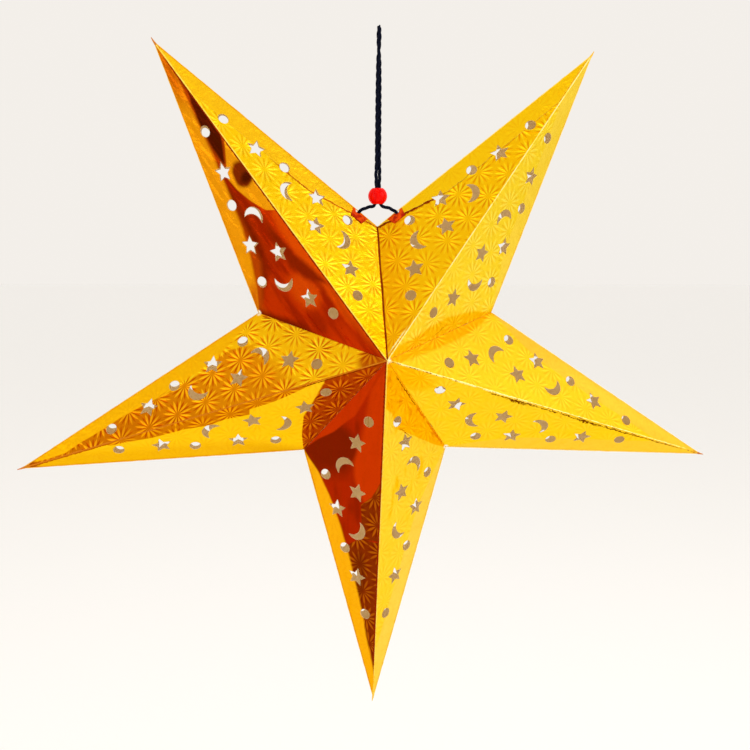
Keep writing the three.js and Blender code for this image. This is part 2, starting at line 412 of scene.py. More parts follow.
def knot_line(centre, axis):
    axis = axis.normalized()
    side = axis.orthogonal().normalized()
    across = axis.cross(side)
    points = []
    for i in range(knot_steps + 1):
        t = 2 * math.pi * (knot_opening + (1 - 2 * knot_opening) * i / knot_steps)
        out = (2 + math.cos(3 * t)) * trefoil_width
        swing = math.sin(3 * t) * trefoil_swing
        place = side * (out * math.cos(2 * t)) + across * (out * math.sin(2 * t)) + axis * swing
        points.append(centre + place * (knot_radius - cord_diameter / 2) / trefoil_reach)
    return points


cord_knots = {}
for side, sign in (("right", 1), ("left", -1)):
    line = leg_lines[side]
    centre = Vector((sign * knot_centre.x, 0, knot_centre.z))
    nearest = min(range(len(line)), key=lambda i: (line[i] - centre).length)
    axis = line[nearest + 1] - line[nearest - 1]
    cord_knots[side] = sweep_cord("cord_knot_" + side, knot_line(centre, axis))
print("knots tied", list(cord_knots))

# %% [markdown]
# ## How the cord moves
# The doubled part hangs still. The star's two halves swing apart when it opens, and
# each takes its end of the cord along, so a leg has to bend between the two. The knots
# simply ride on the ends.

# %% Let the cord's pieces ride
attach(cord_eye, "hanger")
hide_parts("cord_eye")
for side, leg in cord_legs.items():
    line = leg_lines[side]
    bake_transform(leg)
    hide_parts("cord_end_" + side)
    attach(cord_knots[side], "cord_end_" + side)

# %% [markdown]
# ## The star's sheet sizes
# Every arm is the same sheet, and every panel is the same triangle: its corners are the
# centre of a face, the arm's tip and a notch between two arms. Working out that
# triangle once, lying flat, gives all twenty panels, and turning it into its place is
# left to a matrix. An arm's direction is counted in fifths of a turn from straight up,
# and so is the notch that each of its two sides runs to.

# %% Work out one panel
arm_step = 2 * math.pi / 5
tip_span = 0.45
tip_radius = tip_span / (2 * math.sin(arm_step))
notch_radius = 0.08
half_depth = 0.05
card = 0.0003

arms = {
    "top_left": (0.5, {"inner": 0, "outer": 1}),
    "left": (1.5, {"upper": 1, "lower": 2}),
    "bottom": (2.5, {"left": 2, "right": 3}),
    "right": (-1.5, {"upper": -1, "lower": -2}),
    "top_right": (-0.5, {"inner": 0, "outer": -1}),
}
face_side = {"front": -1, "back": 1}


def plane_point(radius, steps):
    angle = math.pi / 2 + steps * arm_step
    return Vector((radius * math.cos(angle), 0, radius * math.sin(angle)))


def panel_axes(arm_steps, notch_steps, out):
    centre = Vector((0, out * half_depth, 0))
    to_tip = plane_point(tip_radius, arm_steps) - centre
    to_notch = plane_point(notch_radius, notch_steps) - centre
    x = to_tip.normalized()
    y = (to_notch - x * to_notch.dot(x)).normalized()
    z = x.cross(y)
    return centre, x, y, z, to_tip, to_notch


def panel_matrix(arm_steps, notch_steps, out):
    """Carries a flat panel, outer side up, to its place on the star."""
    centre, x, y, z, _, _ = panel_axes(arm_steps, notch_steps, out)
    if z.y * out < 0:
        z = -z
    turned = Matrix((x, y, z)).transposed().to_4x4()
    return Matrix.Translation(centre + star_middle) @ turned


_, flat_x, flat_y, _, flat_tip, flat_notch = panel_axes(0.5, 0, -1)
ridge_length = flat_tip.length
panel_height = flat_notch.dot(flat_y)
corner_tip = Vector((ridge_length, 0))
corner_notch = Vector((flat_notch.dot(flat_x), panel_height))
outline_along = (corner_tip - corner_notch).normalized()
outline_inward = Vector((outline_along.y, -outline_along.x))
valley_inward = Vector((corner_notch.y, -corner_notch.x)).normalized()
print("ridge and height mm", in_mm(ridge_length, panel_height))

# %% [markdown]
# ## The punches
# Dots, small stars and crescents are punched through the card in one pass. Each punch
# is modelled as a cutter: the dot is a short cylinder, the star is a ten-sided one with
# every other corner drawn in, and the crescent is a round one bitten by another.

# %% Model the three punches
dot_radius = 0.0035
star_point, star_waist = 0.0064, 0.0031
moon_radius, moon_bite, moon_width = 0.0067, 0.0075, 0.0046
punch_depth = 0.004


def add_cutter(name, sides, radius, place=(0, 0, 0)):
    deselect_all()
    bpy.ops.mesh.primitive_cylinder_add(vertices=sides, radius=radius, depth=punch_depth,
                                        location=place)
    return name_piece(name)


def cut_out(piece, cutter):
    """Takes the cutter's shape out of the piece; the cut's faces keep the cutter's slot."""
    apply_modifier(piece, "BOOLEAN", operation="DIFFERENCE", object=cutter, solver="EXACT",
                   material_mode="INDEX")
    remove_piece(cutter)


def bearing(place):
    return math.atan2(place.y, place.x)


dot_punch = add_cutter("dot_punch", 28, dot_radius)
star_punch = add_cutter("star_punch", 10, star_point)
first_spoke = bearing(star_punch.data.vertices[0].co)
pick_vertices(star_punch,
              lambda place: round((bearing(place) - first_spoke) / (math.pi / 5)) % 2 == 1)
bpy.ops.transform.resize(value=(star_waist / star_point, star_waist / star_point, 1),
                         center_override=(0, 0, 0))
done()
moon_punch = add_cutter("moon_punch", 44, moon_radius)
bite = add_cutter("moon_bite", 44, moon_bite)
bite.location.x = moon_radius - moon_bite - moon_width
bite.scale.z = 2
apply_place(bite)
cut_out(moon_punch, bite)
moon_punch.location.x = -0.45 * moon_radius
apply_place(moon_punch)
print("punch faces", [len(punch.data.polygons) for punch in (dot_punch, star_punch, moon_punch)])

# %% [markdown]
# ## Where the punches land
# The same ten holes are in every panel. A place is given as a share of the ridge's
# length and of the panel's height, and a turn in degrees. Joined into one object, the
# cutters go through the card in a single cut, as they do in the press.

# %% Set the punches out over one panel
dot_places = [(0.745, 0.148), (0.561, 0.436), (0.36, 0.713), (0.178, 0.193)]
star_places = [(0.638, 0.271, -27), (0.451, 0.551, -38), (0.388, 0.305, -26), (0.246, 0.331, -30)]
moon_places = [(0.506, 0.26, -52), (0.314, 0.499, 146)]


def set_out(cutter, along, across, turn):
    placed = copy_piece(cutter, cutter.name + "_placed")
    placed.location = (along * ridge_length, across * panel_height, 0)
    placed.rotation_euler.z = math.radians(turn)
    apply_place(placed)
    return placed


star_turn = -math.degrees(first_spoke)
placed = [set_out(dot_punch, along, across, 0) for along, across in dot_places]
placed += [set_out(star_punch, along, across, turn + star_turn)
           for along, across, turn in star_places]
placed += [set_out(moon_punch, along, across, turn) for along, across, turn in moon_places]
deselect_all()
for cutter in placed:
    cutter.select_set(True)
bpy.context.view_layer.objects.active = placed[0]
bpy.ops.object.join()
punch_set = name_piece("punch_set")
facing_out(punch_set)
for cutter in (dot_punch, star_punch, moon_punch):
    remove_piece(cutter)
print("punches", len(placed), "faces", len(punch_set.data.polygons))

# %% [markdown]
# ## One flat panel
# A grid of small squares is trimmed along the outline crease and along the valley to
# leave the triangle. The grid matters: card that is folded and glued is never quite
# flat, and the small squares let it belly a little later.

# %% Cut the triangle from a grid
grid_step = 0.0026


def from_ridge(place):
    return place.y


def from_outline(place):
    return (place.xy - corner_notch).dot(outline_inward)


def from_valley(place):
    return place.xy.dot(valley_inward)


deselect_all()
bpy.ops.mesh.primitive_grid_add(x_subdivisions=round(ridge_length / grid_step),
                                y_subdivisions=round(panel_height / grid_step), size=1)
flat_panel = name_piece("flat_panel")
flat_panel.location = (ridge_length / 2, panel_height / 2, 0)
flat_panel.scale = (ridge_length, panel_height, 1)
apply_place(flat_panel)
edit(flat_panel)
for place, inward in ((corner_notch, outline_inward), (Vector((0, 0)), valley_inward)):
    bpy.ops.mesh.bisect(plane_co=(*place, 0), plane_no=(*-inward, 0), clear_outer=True)
    bpy.ops.mesh.select_all(action="SELECT")
bpy.ops.mesh.remove_doubles(threshold=2e-5)
done()
print("triangle faces", len(flat_panel.data.polygons))

# %% [markdown]
# ## The card's thickness
# Solidify gives the sheet its thickness, with one material slot for the foil, one for
# the bare inside and one for the cut edges. The inner edges along the creases are drawn
# back so that two panels meet in a mitre and leave each other room to fold.

# %% Give the card its thickness and mitre its creased edges
foil_slot, inside_slot, edge_slot = 0, 1, 2
mitre_back = 0.00042
edge_touch = 3e-5


def add_card_slots(piece, slot):
    for _ in (foil_slot, inside_slot, edge_slot):
        piece.data.materials.append(None)
    for polygon in piece.data.polygons:
        polygon.material_index = slot


add_card_slots(flat_panel, foil_slot)
apply_modifier(flat_panel, "SOLIDIFY", thickness=card, offset=-1, use_even_offset=False,
               material_offset=inside_slot, material_offset_rim=edge_slot)
for distance, direction in ((from_ridge, Vector((0, 1))), (from_outline, outline_inward)):
    pick_vertices(flat_panel, lambda p: p.z < -card / 2 and distance(p) < edge_touch)
    bpy.ops.transform.translate(value=(*(direction * mitre_back), 0))
    done()
print("panel faces", len(flat_panel.data.polygons),
      "lowest mm", in_mm(min(v.co.z for v in flat_panel.data.vertices)))

# %% [markdown]
# ## Punching the card
# An exact boolean cuts the holes with their walls, which show pale where one looks into
# them from the side. The four panels beside the seam, two in front and two behind, have
# one hole more, for the cord. They get a flat panel of their own to be copied from.

# %% Punch it, and cut the cord's hole in the copy that has one
hole_from_notch = 0.016
hole_radius = 0.0034
hole_centre = corner_notch + outline_along * hole_from_notch

add_card_slots(punch_set, edge_slot)
cut_out(flat_panel, punch_set)
facing_out(flat_panel)
holed_panel = copy_piece(flat_panel, "holed_panel")
hole_punch = add_cutter("hole_punch", 40, hole_radius, (*hole_centre, 0))
apply_place(hole_punch)
add_card_slots(hole_punch, edge_slot)
cut_out(holed_panel, hole_punch)
facing_out(holed_panel)
for panel in (flat_panel, holed_panel):
    used = {polygon.material_index for polygon in panel.data.polygons}
    print(panel.name, "faces", len(panel.data.polygons), "slots", sorted(used))

# %% [markdown]
# ## The flat pattern on the sheet
# The starbursts run on across an arm's folds, because they were rolled into the sheet
# before it was folded. So each panel keeps a map of where its points lay on the flat
# sheet: the second panel of a face is a mirror image across the ridge, and the back
# ones are mirror images across the outline crease. A second map holds the same points
# as shares of the panel, for what follows the panel's own edges.

# %% Lay the two maps
sheet_map_scale = 10


def lay_maps(panel, is_back, is_second, shift):
    sheet_map = panel.data.uv_layers.new(name="sheet")
    panel_map = panel.data.uv_layers.new(name="panel")
    for polygon in panel.data.polygons:
        for loop, vertex in zip(polygon.loop_indices, polygon.vertices):
            place = panel.data.vertices[vertex].co.xy
            panel_map.data[loop].uv = (place.x / ridge_length, place.y / panel_height)
            if is_back:
                place = place - outline_inward * (2 * from_outline(place))
            if is_second:
                place = Vector((place.x, -place.y))
            sheet_map.data[loop].uv = (place + shift) * sheet_map_scale


print("a sheet map unit in mm", in_mm(1 / sheet_map_scale))

# %% [markdown]
# ## Twenty panels
# Each panel is a copy of the flat one. A handful of soft dents, strongest in the middle
# of the panel and nothing at its creases, is painted as a vertex group, and a Displace
# modifier pushes the card in or out by it. Sculpting would do the same, but it could
# lift the creases, which have to stay straight for the star to fold.

# %% Helpers: dent a panel
dent_most = 0.0011
dent_count = 7
flat_margin = 0.012


def dent(panel, seed):
    chance = random.Random(seed)
    spots = [(Vector((chance.uniform(0.12, 0.8) * ridge_length,
                      chance.uniform(0.1, 0.7) * panel_height)),
              chance.uniform(0.02, 0.045), chance.choice((-1, 1)) * chance.uniform(0.5, 1))
             for _ in range(dent_count)]
    group = panel.vertex_groups.new(name="dents")
    for vertex in panel.data.vertices:
        place = vertex.co.xy
        room = min(from_ridge(place), from_outline(place), from_valley(place))
        hold = min(1, max(0, room / flat_margin))
        hold = hold * hold * (3 - 2 * hold)
        push = 0.0
        for spot, reach, strength in spots:
            near = (place - spot).length / reach
            push += strength * math.exp(-near * near)
        weight = 0.5 + 0.5 * max(-1, min(1, push * 0.8)) * hold
        group.add([vertex.index], weight, "REPLACE")
    apply_modifier(panel, "DISPLACE", direction="Z", strength=dent_most, mid_level=0,
                   vertex_group="dents")
    panel.vertex_groups.remove(panel.vertex_groups["dents"])


print("dents of up to mm", in_mm(dent_most / 2))

# %% [markdown]
# ## Putting the panels in their places
# The matrix carries each panel to its place, and applying it leaves the object itself
# unturned. A mirrored panel is turned inside out by that, so its normals are made
# consistent again. Each panel rides on its own body and stands for the solid panel.

# %% Make and place the twenty panels
first_dent_seed = 5
panels = {}


def place_piece(piece, matrix):
    piece.matrix_world = matrix
    apply_place(piece)
    if matrix.determinant() < 0:
        facing_out(piece)


for arm_index, (arm, (steps, sides)) in enumerate(arms.items()):
    shift = Vector((0.0041 * arm_index, 0.0063 * (arm_index % 3)))
    for face, out in face_side.items():
        for side_index, (side, notch_steps) in enumerate(sides.items()):
            name = "_".join((arm, face, side))
            master = holed_panel if notch_steps == 0 else flat_panel
            panel = copy_piece(master, "panel_" + name)
            lay_maps(panel, face == "back", side_index == 1, shift)
            for vertex in panel.data.vertices:
                vertex.co.z -= dent_most / 2
            dent(panel, len(panels) + first_dent_seed)
            place_piece(panel, panel_matrix(steps, notch_steps, out))
            smooth(panel, 25)
            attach(panel, name)
            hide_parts(name)
            panels[name] = panel
remove_piece(flat_panel)
remove_piece(holed_panel)
print("panels", len(panels), "faces each", len(panels["left_front_upper"].data.polygons))

# %% [markdown]
# ## Worn folds
# A fold in foil card stands up as a fine rounded bead, and its foil is rubbed through.
# A bevel on the panel could round it, but the crease would open when the star folds.
# So each fold is a thin rod of its own along the crease, cut into short lengths, drawn
# down at its ends and roughened, and then copied. The rod is centred on the hinge line
# itself, so it looks the same however far the star is folded.

# %% Model one ridge fold and one outline fold
fold_radius = 0.00036
fold_cut_length = 0.0022
end_share = 0.35
noise_grain = bpy.data.textures.new("fold_grain", "CLOUDS")
noise_grain.noise_scale = 0.004
noise_grain.noise_depth = 3


def model_fold(name, start, end, radius):
    """A rod along the flat panel's edge from start to end, both points of the flat panel."""
    along = end - start
    deselect_all()
    bpy.ops.mesh.primitive_cylinder_add(vertices=8, radius=radius, depth=along.length,
                                        rotation=(0, math.pi / 2, 0))
    rod = name_piece(name)
    apply_place(rod)
    lengthwise = along.length / 2

    def runs_along(rod_edge):
        a, b = edge_ends(rod, rod_edge)
        return abs(a.x - b.x) > lengthwise

    pick(rod, "EDGE", runs_along)
    bpy.ops.mesh.subdivide(number_cuts=round(along.length / fold_cut_length))
    done()
    for sign in (-1, 1):
        pick_vertices(rod, lambda p: sign * p.x > along.length / 2 - 1e-5)
        bpy.ops.transform.resize(value=(1, end_share, end_share), center_override=(0, 0, 0))
        done()
    middle = (start + end) / 2
    rod.rotation_euler.z = math.atan2(along.y, along.x)
    rod.location = (middle.x, middle.y, 0)
    apply_place(rod)
    apply_modifier(rod, "DISPLACE", texture=noise_grain, strength=0.0004)
    return rod


ridge_fold = model_fold("ridge_fold", Vector((0, 0)), corner_tip, fold_radius)
outline_fold = model_fold("outline_fold", corner_notch, corner_tip, fold_radius * 0.9)
print("fold faces", len(ridge_fold.data.polygons), len(outline_fold.data.polygons))

# %% [markdown]
# ## A fold on every crease
# Each arm has a ridge down its front, another down its back, and two outline creases
# where front and back meet. A fold rides on one of the two panels that it joins. The
# valleys between the arms need none, because nothing rubs along a hollow crease.

# %% Copy the folds to their creases
ridge_folds, outline_folds = {}, {}
for arm, (steps, sides) in arms.items():
    first_side, first_notch = list(sides.items())[0]
    for face, out in face_side.items():
        fold = copy_piece(ridge_fold, "_".join(("fold_ridge", arm, face)))
        place_piece(fold, panel_matrix(steps, first_notch, out))
        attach(fold, "_".join((arm, face, first_side)))
        ridge_folds[arm, face] = fold
    for side, notch_steps in sides.items():
        fold = copy_piece(outline_fold, "_".join(("fold_outline", arm, side)))
        place_piece(fold, panel_matrix(steps, notch_steps, -1))
        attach(fold, "_".join((arm, "front", side)))
        outline_folds[arm, side] = fold
for fold in (*ridge_folds.values(), *outline_folds.values()):
    smooth(fold, 60)
remove_piece(ridge_fold)
remove_piece(outline_fold)
print("folds", len(ridge_folds), len(outline_folds))

# %% [markdown]
# ## The pinched tips
# Where the four panels of an arm run out, the card is pinched into a thin tail a few
# millimetres long. A four-sided cone is cut across, drawn thin and bent a little.

# %% Pinch the five tips
tail_length = 0.0085
tail_root, tail_end = 0.00125, 0.0002
sunk_share = 0.12
tails = {}
for arm, (steps, sides) in arms.items():
    tip = plane_point(tip_radius, steps) + star_middle
    outward = plane_point(1, steps)
    deselect_all()
    bpy.ops.mesh.primitive_cone_add(vertices=4, radius1=tail_root, radius2=tail_end,
                                    depth=tail_length)
    tail = name_piece("tip_tail_" + arm)
    edit(tail)
    for height in (0, tail_length / 4):
        bpy.ops.mesh.select_all(action="SELECT")
        bpy.ops.mesh.bisect(plane_co=(0, 0, height), plane_no=(0, 0, 1))
    done()
    for height, bend in ((tail_length / 5, (0.0003, 0, 0)), (tail_length / 3, (0.0004, 0.0002, 0))):
        pick_vertices(tail, lambda p: p.z > height)
        bpy.ops.transform.translate(value=bend)
        done()
    upright = outward.to_track_quat("Z", "Y").to_matrix().to_4x4()
    place_piece(tail, Matrix.Translation(tip - outward * tail_length * sunk_share) @ upright)
    facing_out(tail)
    smooth(tail, 40)
    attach(tail, "_".join((arm, "front", list(sides)[0])))
    tails[arm] = tail
print("tails", len(tails))

# %% [markdown]
# ## The seam's glued flaps
# Beside the seam a strip of the back sheet is wrapped over the outline crease and glued
# down on the front. It is smooth, it widens from the notch, and its cut edge is ragged
# and dark, partly with glue and partly with painted shade. Each flap is cut by bisection
# from a copy of its panel's own outer face, so it follows every dent and has the same
# holes, and is then given its thickness.

# %% Cut the two flaps
flap_slope, flap_width, flap_card, flap_lift = 0.25, 0.0123, 0.00011, 0.00002
flap_from_ridge = 0.0009
flap_ragged = (-0.0004, 0.00035)


def cut_flap(name, panel, matrix):
    flap = copy_piece(panel, name)
    flap.data.transform(matrix.inverted())
    pick(flap, "FACE", lambda face: face.material_index != foil_slot)
    bpy.ops.mesh.delete(type="FACE")
    done()
    slanted = (outline_inward - outline_along * flap_slope).normalized()
    bend = corner_notch + outline_inward * flap_width
    for place, normal in ((corner_notch, slanted), (bend, outline_inward),
                          (Vector((0, flap_from_ridge)), Vector((0, -1)))):
        trim(flap, (*place, 0), (*normal, 0))
    chance = random.Random(21)
    for vertex in flap.data.vertices:
        spot = vertex.co.xy
        inner_edge = min(abs((spot - corner_notch).dot(slanted)),
                         abs((spot - bend).dot(outline_inward)))
        if inner_edge < 1e-5:
            vertex.co.xy = spot + outline_inward * chance.uniform(*flap_ragged)
        vertex.co.z += flap_lift
    apply_modifier(flap, "SOLIDIFY", thickness=flap_card, offset=1, material_offset_rim=edge_slot)
    flap.data.transform(matrix)
    facing_out(flap)
    return flap


seam_arms = {"left": "top_left", "right": "top_right"}
flaps = {}
for side, arm in seam_arms.items():
    panel_name = arm + "_front_inner"
    flap = cut_flap("seam_flap_" + side, panels[panel_name], panel_matrix(arms[arm][0], 0, -1))
    smooth(flap, 25)
    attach(flap, panel_name)
    flaps[side] = flap
print("flap faces", [len(flap.data.polygons) for flap in flaps.values()])

# %% [markdown]
# ## The tape round the cord's holes
# A short patch of glossy red tape is folded over the outline crease round each hole.
# Its half on each panel is cut from a small grid, so that it can wrinkle, and stands
# its own thickness off the foil. The hole through it is smaller than the one in the
# card, because the cord was pushed through the tape.

# %% Cut one half of a tape patch
tape_length, tape_depth, tape_slant, tape_margin = 0.012, 0.0064, 0.0016, 0.0003
tape_thickness = 0.00018
tape_lift = 0.00017
tape_middle = hole_from_notch - 0.002
tape_hole_radius = 0.0021
wrinkle_grain = bpy.data.textures.new("tape_wrinkles", "CLOUDS")
wrinkle_grain.noise_scale = 0.0026


def cut_tape(name):
    deselect_all()
    bpy.ops.mesh.primitive_grid_add(x_subdivisions=36, y_subdivisions=22, size=1)
    tape = name_piece(name)
    tape.scale = (tape_length, tape_depth - tape_margin, 1)
    tape.location = (tape_middle, (tape_depth + tape_margin) / 2, 0)
    apply_place(tape)
    for sign in (-1, 1):
        trim(tape, (tape_middle + sign * tape_length / 2, 0, 0),
             Vector((sign * tape_depth, tape_slant, 0)).normalized())
    apply_modifier(tape, "SOLIDIFY", thickness=tape_thickness, offset=1)
    hole = add_cutter("tape_hole", 40, tape_hole_radius, (hole_from_notch, 0, 0))
    apply_place(hole)
    cut_out(tape, hole)
    facing_out(tape)
    apply_modifier(tape, "DISPLACE", texture=wrinkle_grain, direction="Z", mid_level=0.3,
                   strength=0.00035)
    return tape


flat_tape = cut_tape("flat_tape")
print("tape faces", len(flat_tape.data.polygons))

# %% [markdown]
# ## Laying the tape
# The half patch lies flat along the first axis, with the crease as its edge. A second
# matrix turns it along the outline crease and lifts it off the foil, and the panel's own
# matrix takes it on from there, so the front and back halves meet on the crease.

# %% Lay the four halves
along_outline = Matrix((
    (outline_along.x, outline_inward.x, 0, corner_notch.x),
    (outline_along.y, outline_inward.y, 0, corner_notch.y),
    (0, 0, 1, tape_lift),
    (0, 0, 0, 1),
))
tapes = []
for side, arm in seam_arms.items():
    for face, out in face_side.items():
        tape = copy_piece(flat_tape, "tape_patch_" + side + "_" + face)
        place_piece(tape, panel_matrix(arms[arm][0], 0, out) @ along_outline)
        facing_out(tape)
        smooth(tape, 40)
        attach(tape, arm + "_" + face + "_inner")
        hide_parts("tape_" + side + "_" + face)
        tapes.append(tape)
remove_piece(flat_tape)
print("tapes", len(tapes), "faces each", len(tapes[0].data.polygons))

# %% [markdown]
# ## The bead
# A round bead of turned wood, dipped in red lacquer. It starts as a sphere, its poles
# are cut off, and the two rims are pulled into the bore and bridged, so it has a real
# hole with a rounded mouth.

# %% Turn the bead
bead_radius, bead_bore, bead_mouth = 0.0061, 0.0029, 0.0034
bead_drop = 0.1044
lip_share = 0.92
lip_drop, bore_drop = 0.0002, 0.0006
mouth_height = math.sqrt(bead_radius ** 2 - bead_mouth ** 2)
bore_height = mouth_height - lip_drop - bore_drop
deselect_all()
bpy.ops.mesh.primitive_uv_sphere_add(segments=48, ring_count=32, radius=bead_radius)
bead = name_piece("red_bead")


def is_bore_rim(bead_edge):
    return all(abs(p.xy.length - bead_bore) < 1e-5 and abs(abs(p.z) - bore_height) < 1e-5
               for p in edge_ends(bead, bead_edge))


for sign in (1, -1):
    trim(bead, (0, 0, sign * mouth_height), (0, 0, sign))
    pick_vertices(bead, lambda p: sign * p.z > mouth_height - 1e-6)
    for share, drop in ((lip_share, lip_drop), (bead_bore / (bead_mouth * lip_share), bore_drop)):
        bpy.ops.mesh.extrude_region_move()
        bpy.ops.transform.resize(value=(share, share, 1), center_override=(0, 0, 0))
        bpy.ops.transform.translate(value=(0, 0, -sign * drop))
    done()
pick(bead, "EDGE", is_bore_rim)
bpy.ops.mesh.bridge_edge_loops()
done()
bead.location.z = -bead_drop
apply_place(bead)
facing_out(bead)
smooth(bead, 40)
print("bead faces", len(bead.data.polygons))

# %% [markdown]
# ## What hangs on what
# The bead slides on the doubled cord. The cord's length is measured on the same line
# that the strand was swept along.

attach(bead, "bead")
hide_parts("bead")
print("cord mm", in_mm(route_length(eye_line)))

# %% [markdown]
# ## Helpers for materials
# A material here is a small graph that ends in one Principled shader. These helpers
# add a node and set its inputs: a plain value is set on the socket itself, and whatever
# is the output of another node is linked.

# %% Helpers: nodes
def feed(tree, node, inputs):
    for name, value in inputs.items():
        if isinstance(value, bpy.types.NodeSocket):
            tree.links.new(value, node.inputs[name])
        else:
            node.inputs[name].default_value = value


def put(tree, kind, inputs=None, **fields):
    node = tree.nodes.new("ShaderNode" + kind)
    for key, value in fields.items():
        setattr(node, key, value)
    feed(tree, node, inputs or {})
    return node


def calc(tree, operation, *values, clamp=False):
    inputs = dict(enumerate(values))
    return put(tree, "Math", inputs, operation=operation, use_clamp=clamp).outputs[0]


def vector_calc(tree, operation, *values, output="Vector"):
    inputs = dict(enumerate(values))
    return put(tree, "VectorMath", inputs, operation=operation).outputs[output]


def mix(tree, share, first, second, blend="MIX"):
    node = put(tree, "Mix", {0: share, 6: first, 7: second}, data_type="RGBA", blend_type=blend)
    return node.outputs[2]


def ramp(tree, value, low, high):
    inputs = {"Value": value, "From Min": low, "From Max": high}
    return put(tree, "MapRange", inputs, interpolation_type="SMOOTHSTEP").outputs[0]


def noise(tree, place, scale, detail=3.0, rough=0.55):
    inputs = {"Vector": place, "Scale": scale, "Detail": detail, "Roughness": rough}
    return put(tree, "TexNoise", inputs).outputs[0]


def stretched(tree, place, scale, turn=0.0):
    inputs = {"Vector": place, "Scale": scale, "Rotation": (0, 0, turn)}
    return put(tree, "Mapping", inputs).outputs[0]


def object_place(tree):
    return put(tree, "TexCoord").outputs["Object"]


def bump(tree, height, strength, depth, **under):
    """A normal raised by the height; depth is in metres, and Normal may be a finished one."""
    inputs = {"Strength": strength, "Distance": depth, "Height": height, **under}
    return put(tree, "Bump", inputs).outputs[0]


def new_finish(name, colour, roughness, metallic=0.0):
    material = bpy.data.materials.new(name)
    material.use_nodes = True
    tree = material.node_tree
    tree.nodes.clear()
    shader = put(tree, "BsdfPrincipled", {"Roughness": roughness, "Metallic": metallic,
                                          "Base Color": (*colour, 1)})
    put(tree, "OutputMaterial", {"Surface": shader.outputs[0]})
    return material, tree, shader


# %% [markdown]
# ## The embossed starbursts
# The foil is rolled with a close pattern of starbursts, twelve petals to each, set out
# like the cells of a honeycomb about 19.5 mm apart. Two rectangular lattices, one shifted
# by half a cell, make a honeycomb: at each point the nearer centre is kept, and the
# angle and distance from it draw the petals. Each petal is a slim raised lens, and
# between two petals lies a slim groove.

# %% Helpers: honeycomb and petals
burst_pitch = 0.0195
burst_turn = 0.16
petals = 12
petal_start, petal_end = 0.05, 0.54
petal_width, groove_width, petal_edge = 0.05, 0.044, 0.022


def nearest_centre(group, scaled):
    """The way from the nearer centre of the honeycomb, and how far off that centre is."""
    half_width, half_height = 0.5, math.sqrt(3) / 2
    half_cell = (half_width, half_height, 1)
    opposite = tuple(-v for v in half_cell)
    moved = vector_calc(group, "ADD", scaled, (half_width, half_height, 0))
    one = vector_calc(group, "WRAP", scaled, half_cell, opposite)
    two = vector_calc(group, "WRAP", moved, half_cell, opposite)
    far_one = vector_calc(group, "LENGTH", one, output="Value")
    far_two = vector_calc(group, "LENGTH", two, output="Value")
    nearer = calc(group, "LESS_THAN", far_two, far_one)
    way = put(group, "Mix", {0: nearer, 4: one, 5: two}, data_type="VECTOR").outputs[1]
    return way, calc(group, "MINIMUM", far_one, far_two)


def slim_lens(group, off_middle, arc, swell, width):
    """How far inside a slim lens a point is: it swells from its ends to its middle."""
    off = calc(group, "MULTIPLY", calc(group, "MULTIPLY", off_middle, arc), -1)
    return calc(group, "MAXIMUM", calc(group, "MULTIPLY_ADD", swell, width, off), 0.0)


print("burst pitch mm", in_mm(burst_pitch), "petals", petals)

# %% [markdown]
# ## One group for all foils
# A node group is built once and used in every foil. It takes the place on the sheet, and
# gives a height for the relief, a mask of the petals, one of the grooves, and which way
# each petal faces. That way is used for a painted light from one side, which makes some
# petals of a starburst bright and others dull.

# %% Build the starburst group
light_bearing = 0.7


def build_starbursts():
    group = bpy.data.node_groups.new("starbursts", "ShaderNodeTree")
    group.interface.new_socket("Sheet", in_out="INPUT", socket_type="NodeSocketVector")
    for name in ("Height", "Petal", "Groove", "Facing"):
        group.interface.new_socket(name, in_out="OUTPUT", socket_type="NodeSocketFloat")
    entry = group.nodes.new("NodeGroupInput")
    leave = group.nodes.new("NodeGroupOutput")
    size = 1 / (sheet_map_scale * burst_pitch)
    scaled = stretched(group, entry.outputs[0], (size, size, 1), burst_turn)
    way, distance = nearest_centre(group, scaled)
    parts = put(group, "SeparateXYZ", {0: way}).outputs
    angle = calc(group, "ARCTAN2", parts[1], parts[0])
    turns = calc(group, "MULTIPLY", angle, petals / (2 * math.pi))
    off_petal = calc(group, "PINGPONG", turns, 0.5)
    off_groove = calc(group, "SUBTRACT", 0.5, off_petal)
    arc = calc(group, "MULTIPLY", distance, 2 * math.pi / petals)
    share = put(group, "MapRange", {"Value": distance, "From Min": petal_start,
                                    "From Max": petal_end}).outputs[0]
    swell = calc(group, "SINE", calc(group, "MULTIPLY", share, math.pi))
    petal_height = slim_lens(group, off_petal, arc, swell, petal_width)
    groove_depth = slim_lens(group, off_groove, arc, swell, groove_width)
    feed(group, leave, {
        "Height": calc(group, "SUBTRACT", petal_height, groove_depth),
        "Petal": calc(group, "DIVIDE", petal_height, petal_edge, clamp=True),
        "Groove": calc(group, "DIVIDE", groove_depth, petal_edge, clamp=True),
        "Facing": calc(group, "SINE", calc(group, "ADD", angle, light_bearing)),
    })
    return group


starbursts = build_starbursts()
print("starburst nodes", len(starbursts.nodes))

# %% [markdown]
# ## Marks on a panel
# The foil is one colour, but what it mirrors isn't: each panel shows a few patches with
# clear edges, which follow the panel's own creases. So these reflections are painted
# into a finish with masks. A mark says where a patch is, in shares of the panel: u runs
# along the ridge from the star's centre to the tip, and v from the ridge up to the notch.
# A slow noise, the wave, keeps the edges from being ruled.

# %% Helpers: colours and broad marks
notch_share = corner_notch.x / ridge_length


def tone(red, green, blue):
    """A colour given by three values up to 255, as the straight values that a shader takes."""
    values = [value / 255 for value in (red, green, blue)]
    return tuple(v / 12.92 if v < 0.04045 else ((v + 0.055) / 1.055) ** 2.4 for v in values)


